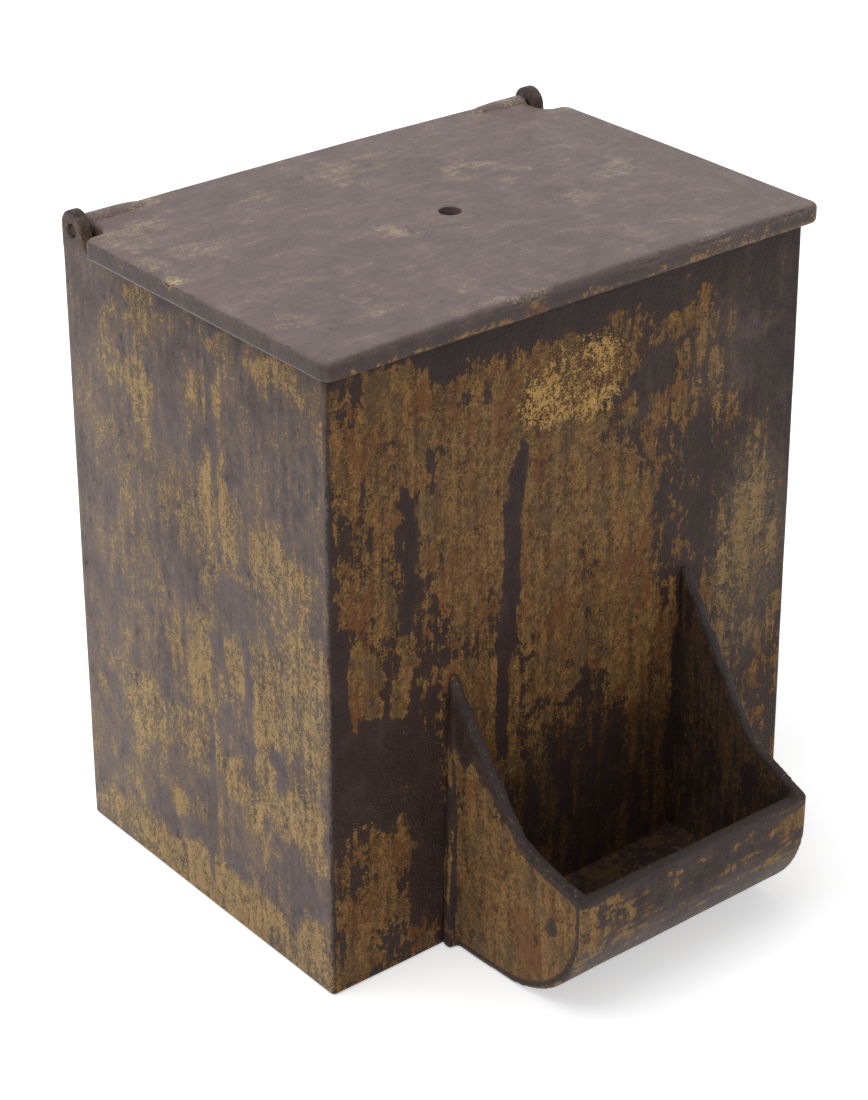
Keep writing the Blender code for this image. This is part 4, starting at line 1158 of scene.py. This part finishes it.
                # The panel, by its length from the lip down and round the bend
                fallen = lip - z
                if z < bend:
                    fallen = lip - bend + bend * atan2(bend - z, max(0.01, out - reach + bend))
                streak = drift((x * MM * 0.14, y * MM, z * MM), 0.0013, 6)
                streak += 0.7 * drift((x * MM * 0.4, y * MM, z * MM), 0.0011, 9)
                moved = 3.0 * drift(vertex.co, 0.008, 8)
                amount = 0.16 + patch_field(x + moved, fallen + 0.4 * moved, PANEL_PATCHES) + 0.6 * streak
                shine, bleach_and_sheen, wear_and_highlight = 0.22, 0.16 + 0.3 * ease((fallen - 9) / 9), 0.6 * ease((z - 29.6) / 1.2)
            else:
                # The inside
                amount, shine, dirt = 0.24 + 0.16 * slow, 0.0, 0.8
                wear_and_highlight = 0.75 * ease((1.8 - below_crest) / 1.2)
                if out > reach - 6:
                    wear_and_highlight = max(wear_and_highlight, 0.8 * ease((z - 29.8) / 1.2))
            rows.append((amount, shine, bleach_and_sheen, dirt, wear_and_highlight))
        mark_paint(obj, rows)


# Rivet, pins, screws and bottom


class CIGARBOX_OT_rivet(bpy.types.Operator):
    """Build what is left of the knob's rivet: a shank broken off unevenly and its peened head"""

    bl_idname = "cigar_box.rivet"
    bl_label = "Rivet stub"

    def execute(self, context):
        shape = bmesh.new()
        # The peened head lies just under the plate
        head_top = LID_LOW.z - 0.0003
        rise = STUB_HIGH.z - head_top
        # The outline from the head's underside up: radius, height above the head's top
        outline = [(0, -0.0015), (0.0024, -0.0014), (0.0034, -0.0009), (0.00372, -0.0005), (0.0035, 0)]
        outline += [(0.0021, 0), (0.00205, rise * 0.5), (0.0019, rise * 0.86), (0.0013, rise * 0.97)]
        outline += [(0.0009, rise * 0.86), (0.0004, rise * 0.84), (0, rise * 0.84)]
        places = [(KNOB_X + radius, KNOB_Y, head_top + height) for radius, height in outline]
        turn_line(shape, places, (KNOB_X, KNOB_Y, 0), (0, 0, 1), 28)
        bmesh.ops.remove_doubles(shape, verts=shape.verts, dist=TOUCH)
        bmesh.ops.recalc_face_normals(shape, faces=shape.faces)
        # The broken end is ragged
        for vertex in shape.verts:
            high = ease((vertex.co.z - head_top - rise * 0.6) / (rise * 0.4))
            ragged = noise.noise(vertex.co / 0.0009) - 0.6
            vertex.co.z += 0.0005 * high * ragged
        obj = as_object("broken_rivet", shape, [get_finish(context.scene.cigar_box_finishes, "steel")])
        finish_piece(obj, "lid", "dark_steel", "knob_rivet_stub")
        return {"FINISHED"}


class CIGARBOX_OT_hardware(bpy.types.Operator):
    """Give the pins, the screws and the bottom plate their finishes"""

    bl_idname = "cigar_box.hardware"
    bl_label = "Pins, screws and bottom"

    def execute(self, context):
        finishes = context.scene.cigar_box_finishes
        for name, node in frame["nodes"].items():
            if name.startswith(("hinge_pin", "bottom_screw", "tray_screw")):
                finish = get_finish(finishes, "steel")
            elif name == "bottom_plate":
                finish = get_finish(finishes, "inside")
            else:
                continue
            node.data.materials.clear()
            node.data.materials.append(finish)
        return {"FINISHED"}


class CIGARBOX_OT_finishes(bpy.types.Operator):
    """Make the four finishes of the box"""

    bl_idname = "cigar_box.finishes"
    bl_label = "Finishes"

    def execute(self, context):
        colours = context.scene.cigar_box_colours
        names = context.scene.cigar_box_finishes
        # Walls and tray: streaks run down, the paint film is thick enough to feel
        names.bronze = painted_iron(
            "bronze_paint_over_japanned_cast_iron",
            colours,
            (colours.japan_faded, colours.bronze_faded),
            run=(1, 1, 0.1),
            depth=0.0008,
            specks=0.1,
            specular=0.2,
        ).name
        # Lid: wiping hands drew the streaks from side to side and left it smooth, dusty and shinier
        names.japan = painted_iron(
            "japanned_cast_iron",
            colours,
            (colours.japan_lid, colours.tan_smear),
            run=(0.12, 1, 1),
            depth=0.0003,
            specks=0.45,
            specular=0.42,
        ).name
        # Iron left as it came from the sand mould: dark, matt and grainy, with darker blotches of 6 mm
        names.inside = bare_metal(
            "bare_dark_cast_iron",
            colours.inside,
            colours.pit,
            blotches=(6, 5),
            spread=0.15,
            grains=(0.5, 3),
            shine=(0.6, 0.85),
            relief=(0.6, 0.0002),
        ).name
        # Steel darkened by age, and darker still as painted shade, so that the pin ends in the ears read as
        # dark holes: dull grey-brown metal with fine dark spots and a soft shine
        names.steel = bare_metal(
            "aged_steel_with_painted_shade",
            colours.steel,
            colours.pit,
            blotches=(0.8, 4),
            spread=0.1,
            grains=(0.8, 4),
            shine=(0.35, 0.6),
            relief=(0.4, 0.0001),
            metallic=0.5,
            specular=0.2,
        ).name
        return {"FINISHED"}


# Stage

# The floor's reach to each side and how far it lies below the foot, so that the two never coincide
FLOOR_REACH, FLOOR_DROP = 4, 0.0001
# The lamp's side, its place and what it points at
LAMP_SIDE, LAMP_PLACE, LAMP_AIM = 1.4, (-0.35, 0.3, 1.2), (0, 0, 0.08)
# The camera's place, and its turn, lift and roll in degrees, from a perspective fit of the photo
CAMERA_PLACE, CAMERA_ANGLES = (-0.35527, -0.44009, 0.36816), (-38.8662, 27.9888, -0.25399)


class CIGARBOX_OT_stage(bpy.types.Operator):
    """Lay the pale floor and set the lamps, the sky and the camera"""

    bl_idname = "cigar_box.stage"
    bl_label = "Stage"

    def execute(self, context):
        settings = context.scene.cigar_box_stage
        self.floor(settings)
        self.lamps(context, settings)
        self.sky(context, settings)
        self.camera(context, settings)
        context.scene.view_settings.view_transform = "Standard"
        return {"FINISHED"}

    def floor(self, settings):
        """A pale painted floor: matt and nearly white, with faint brush marks 30 mm apart."""
        shape = bmesh.new()
        bmesh.ops.create_grid(shape, x_segments=2, y_segments=2, size=FLOOR_REACH)
        bmesh.ops.translate(shape, verts=shape.verts, vec=(0, 0, -FLOOR_DROP))
        material, tree, shader = new_finish("pale_painted_floor")
        place = add_node(tree, "ShaderNodeTexCoord", {}, "Object")
        marks = add_node(tree, "ShaderNodeTexNoise", {"Vector": place, "Scale": 1 / 0.03, "Detail": 2})
        tone = add_node(tree, "ShaderNodeMapRange", {"Value": marks, "To Min": 0, "To Max": 0.03})
        colour = {0: tone, 6: settings.floor, 7: "#dcdce0"}
        colour = add_node(tree, "ShaderNodeMix", colour, 2, data_type="RGBA")
        tree.links.new(colour, shader.inputs["Base Color"])
        shader.inputs["Roughness"].default_value = 0.8
        # The camera sees the floor as overexposed as the photo has it, and it keeps the shadow
        rays = add_node(tree, "ShaderNodeLightPath", {}).node.outputs
        share = {0: rays["Is Camera Ray"], 1: rays["Is Glossy Ray"]}
        share = add_node(tree, "ShaderNodeMath", share, operation="MAXIMUM")
        share = add_node(tree, "ShaderNodeMath", {0: share, 1: settings.floor_glow}, operation="MULTIPLY")
        glow = add_node(tree, "ShaderNodeEmission", {"Color": (1, 1, 1, 1), "Strength": share})
        both = add_node(tree, "ShaderNodeAddShader", {0: shader.outputs[0], 1: glow})
        tree.links.new(both, tree.nodes["Material Output"].inputs["Surface"])
        obj = as_object("floor", shape, [material])

    def lamps(self, context, settings):
        """One large soft lamp above and a little behind the box."""
        data = bpy.data.lights.new("key", "AREA")
        data.shape = "RECTANGLE"
        data.size, data.size_y = LAMP_SIDE, LAMP_SIDE
        data.energy = settings.key_power
        lamp = bpy.data.objects.new("key", data)
        context.scene.collection.objects.link(lamp)
        lamp.location = LAMP_PLACE
        aim = Vector(LAMP_AIM) - lamp.location
        lamp.rotation_mode = "QUATERNION"
        lamp.rotation_quaternion = aim.to_track_quat("-Z", "Y")

    def sky(self, context, settings):
        """Even light from all round, which the camera sees as white."""
        world = bpy.data.worlds.new("pale_room")
        world.use_nodes = True
        tree = world.node_tree
        tree.nodes.clear()
        rays = add_node(tree, "ShaderNodeLightPath", {}).node.outputs
        seen = rays["Is Camera Ray"]
        for other in ("Is Transmission Ray", "Is Glossy Ray"):
            seen = add_node(tree, "ShaderNodeMath", {0: seen, 1: rays[other]}, operation="MAXIMUM")
        lit, white = (
            add_node(tree, "ShaderNodeBackground", {"Color": (1, 1, 1, 1), "Strength": strength})
            for strength in (settings.sky, 1.0)
        )
        both = add_node(tree, "ShaderNodeMixShader", {0: seen, 1: lit, 2: white})
        tree.links.new(both, tree.nodes.new("ShaderNodeOutputWorld").inputs["Surface"])
        context.scene.world = world

    def camera(self, context, settings):
        """The view of the photo, as a perspective fit of it gives it."""
        data = bpy.data.cameras.new("photo_view")
        data.lens = settings.lens
        data.sensor_width = 36
        data.clip_end = 20
        camera = bpy.data.objects.new("photo_view", data)
        context.scene.collection.objects.link(camera)
        turn, lift, roll = (radians(angle) for angle in CAMERA_ANGLES)
        back = Vector((sin(turn) * cos(lift), -cos(turn) * cos(lift), sin(lift)))
        right = (-back).cross(Vector((0, 0, 1))).normalized()
        up = right.cross(-back)
        rolled_right = right * cos(roll) + up * sin(roll)
        rolled_up = up * cos(roll) - right * sin(roll)
        axes = Matrix((rolled_right, rolled_up, back)).transposed().to_4x4()
        camera.matrix_world = Matrix.Translation(CAMERA_PLACE) @ axes
        context.scene.camera = camera


class CIGARBOX_PT_panel(bpy.types.Panel):
    """Sidebar panel with the sizes, colours and building steps"""

    bl_idname = "CIGARBOX_PT_panel"
    bl_label = "Cigar Box"
    bl_space_type = "VIEW_3D"
    bl_region_type = "UI"
    bl_category = "Cigar Box"

    def draw(self, context):
        for name, kind in PROPERTY_GROUPS:
            if kind is FinishNames:
                continue
            group = getattr(context.scene, name)
            column = self.layout.column(align=True)
            for key in group.bl_rna.properties.keys():
                if key not in ("rna_type", "name"):
                    column.prop(group, key)
        for step in STEPS:
            self.layout.operator(step.bl_idname)


PROPERTY_GROUPS = [
    ("cigar_box_sizes", BoxSizes),
    ("cigar_lid_sizes", LidSizes),
    ("cigar_tray_sizes", TraySizes),
    ("cigar_box_colours", FinishColours),
    ("cigar_box_finishes", FinishNames),
    ("cigar_box_stage", StageSettings),
]
STEPS = [
    CIGARBOX_OT_finishes,
    CIGARBOX_OT_walls,
    CIGARBOX_OT_lid,
    CIGARBOX_OT_tray,
    CIGARBOX_OT_rivet,
    CIGARBOX_OT_hardware,
    CIGARBOX_OT_stage,
]


def register():
    for name, kind in PROPERTY_GROUPS:
        bpy.utils.register_class(kind)
        setattr(bpy.types.Scene, name, bpy.props.PointerProperty(type=kind))
    for step in STEPS:
        bpy.utils.register_class(step)
    bpy.utils.register_class(CIGARBOX_PT_panel)


def unregister():
    bpy.utils.unregister_class(CIGARBOX_PT_panel)
    for step in reversed(STEPS):
        bpy.utils.unregister_class(step)
    for name, kind in reversed(PROPERTY_GROUPS):
        delattr(bpy.types.Scene, name)
        bpy.utils.unregister_class(kind)


def main():
    framed = set(frame["nodes"].values()) | set(frame["bodies"].values())
    for obj in list(bpy.data.objects):
        if obj not in framed:
            bpy.data.objects.remove(obj, do_unlink=True)
    register()
    bpy.ops.cigar_box.finishes()
    bpy.ops.cigar_box.walls()
    bpy.ops.cigar_box.lid()
    bpy.ops.cigar_box.tray()
    bpy.ops.cigar_box.rivet()
    bpy.ops.cigar_box.hardware()
    bpy.ops.cigar_box.stage()


if __name__ == "__main__":
    main()
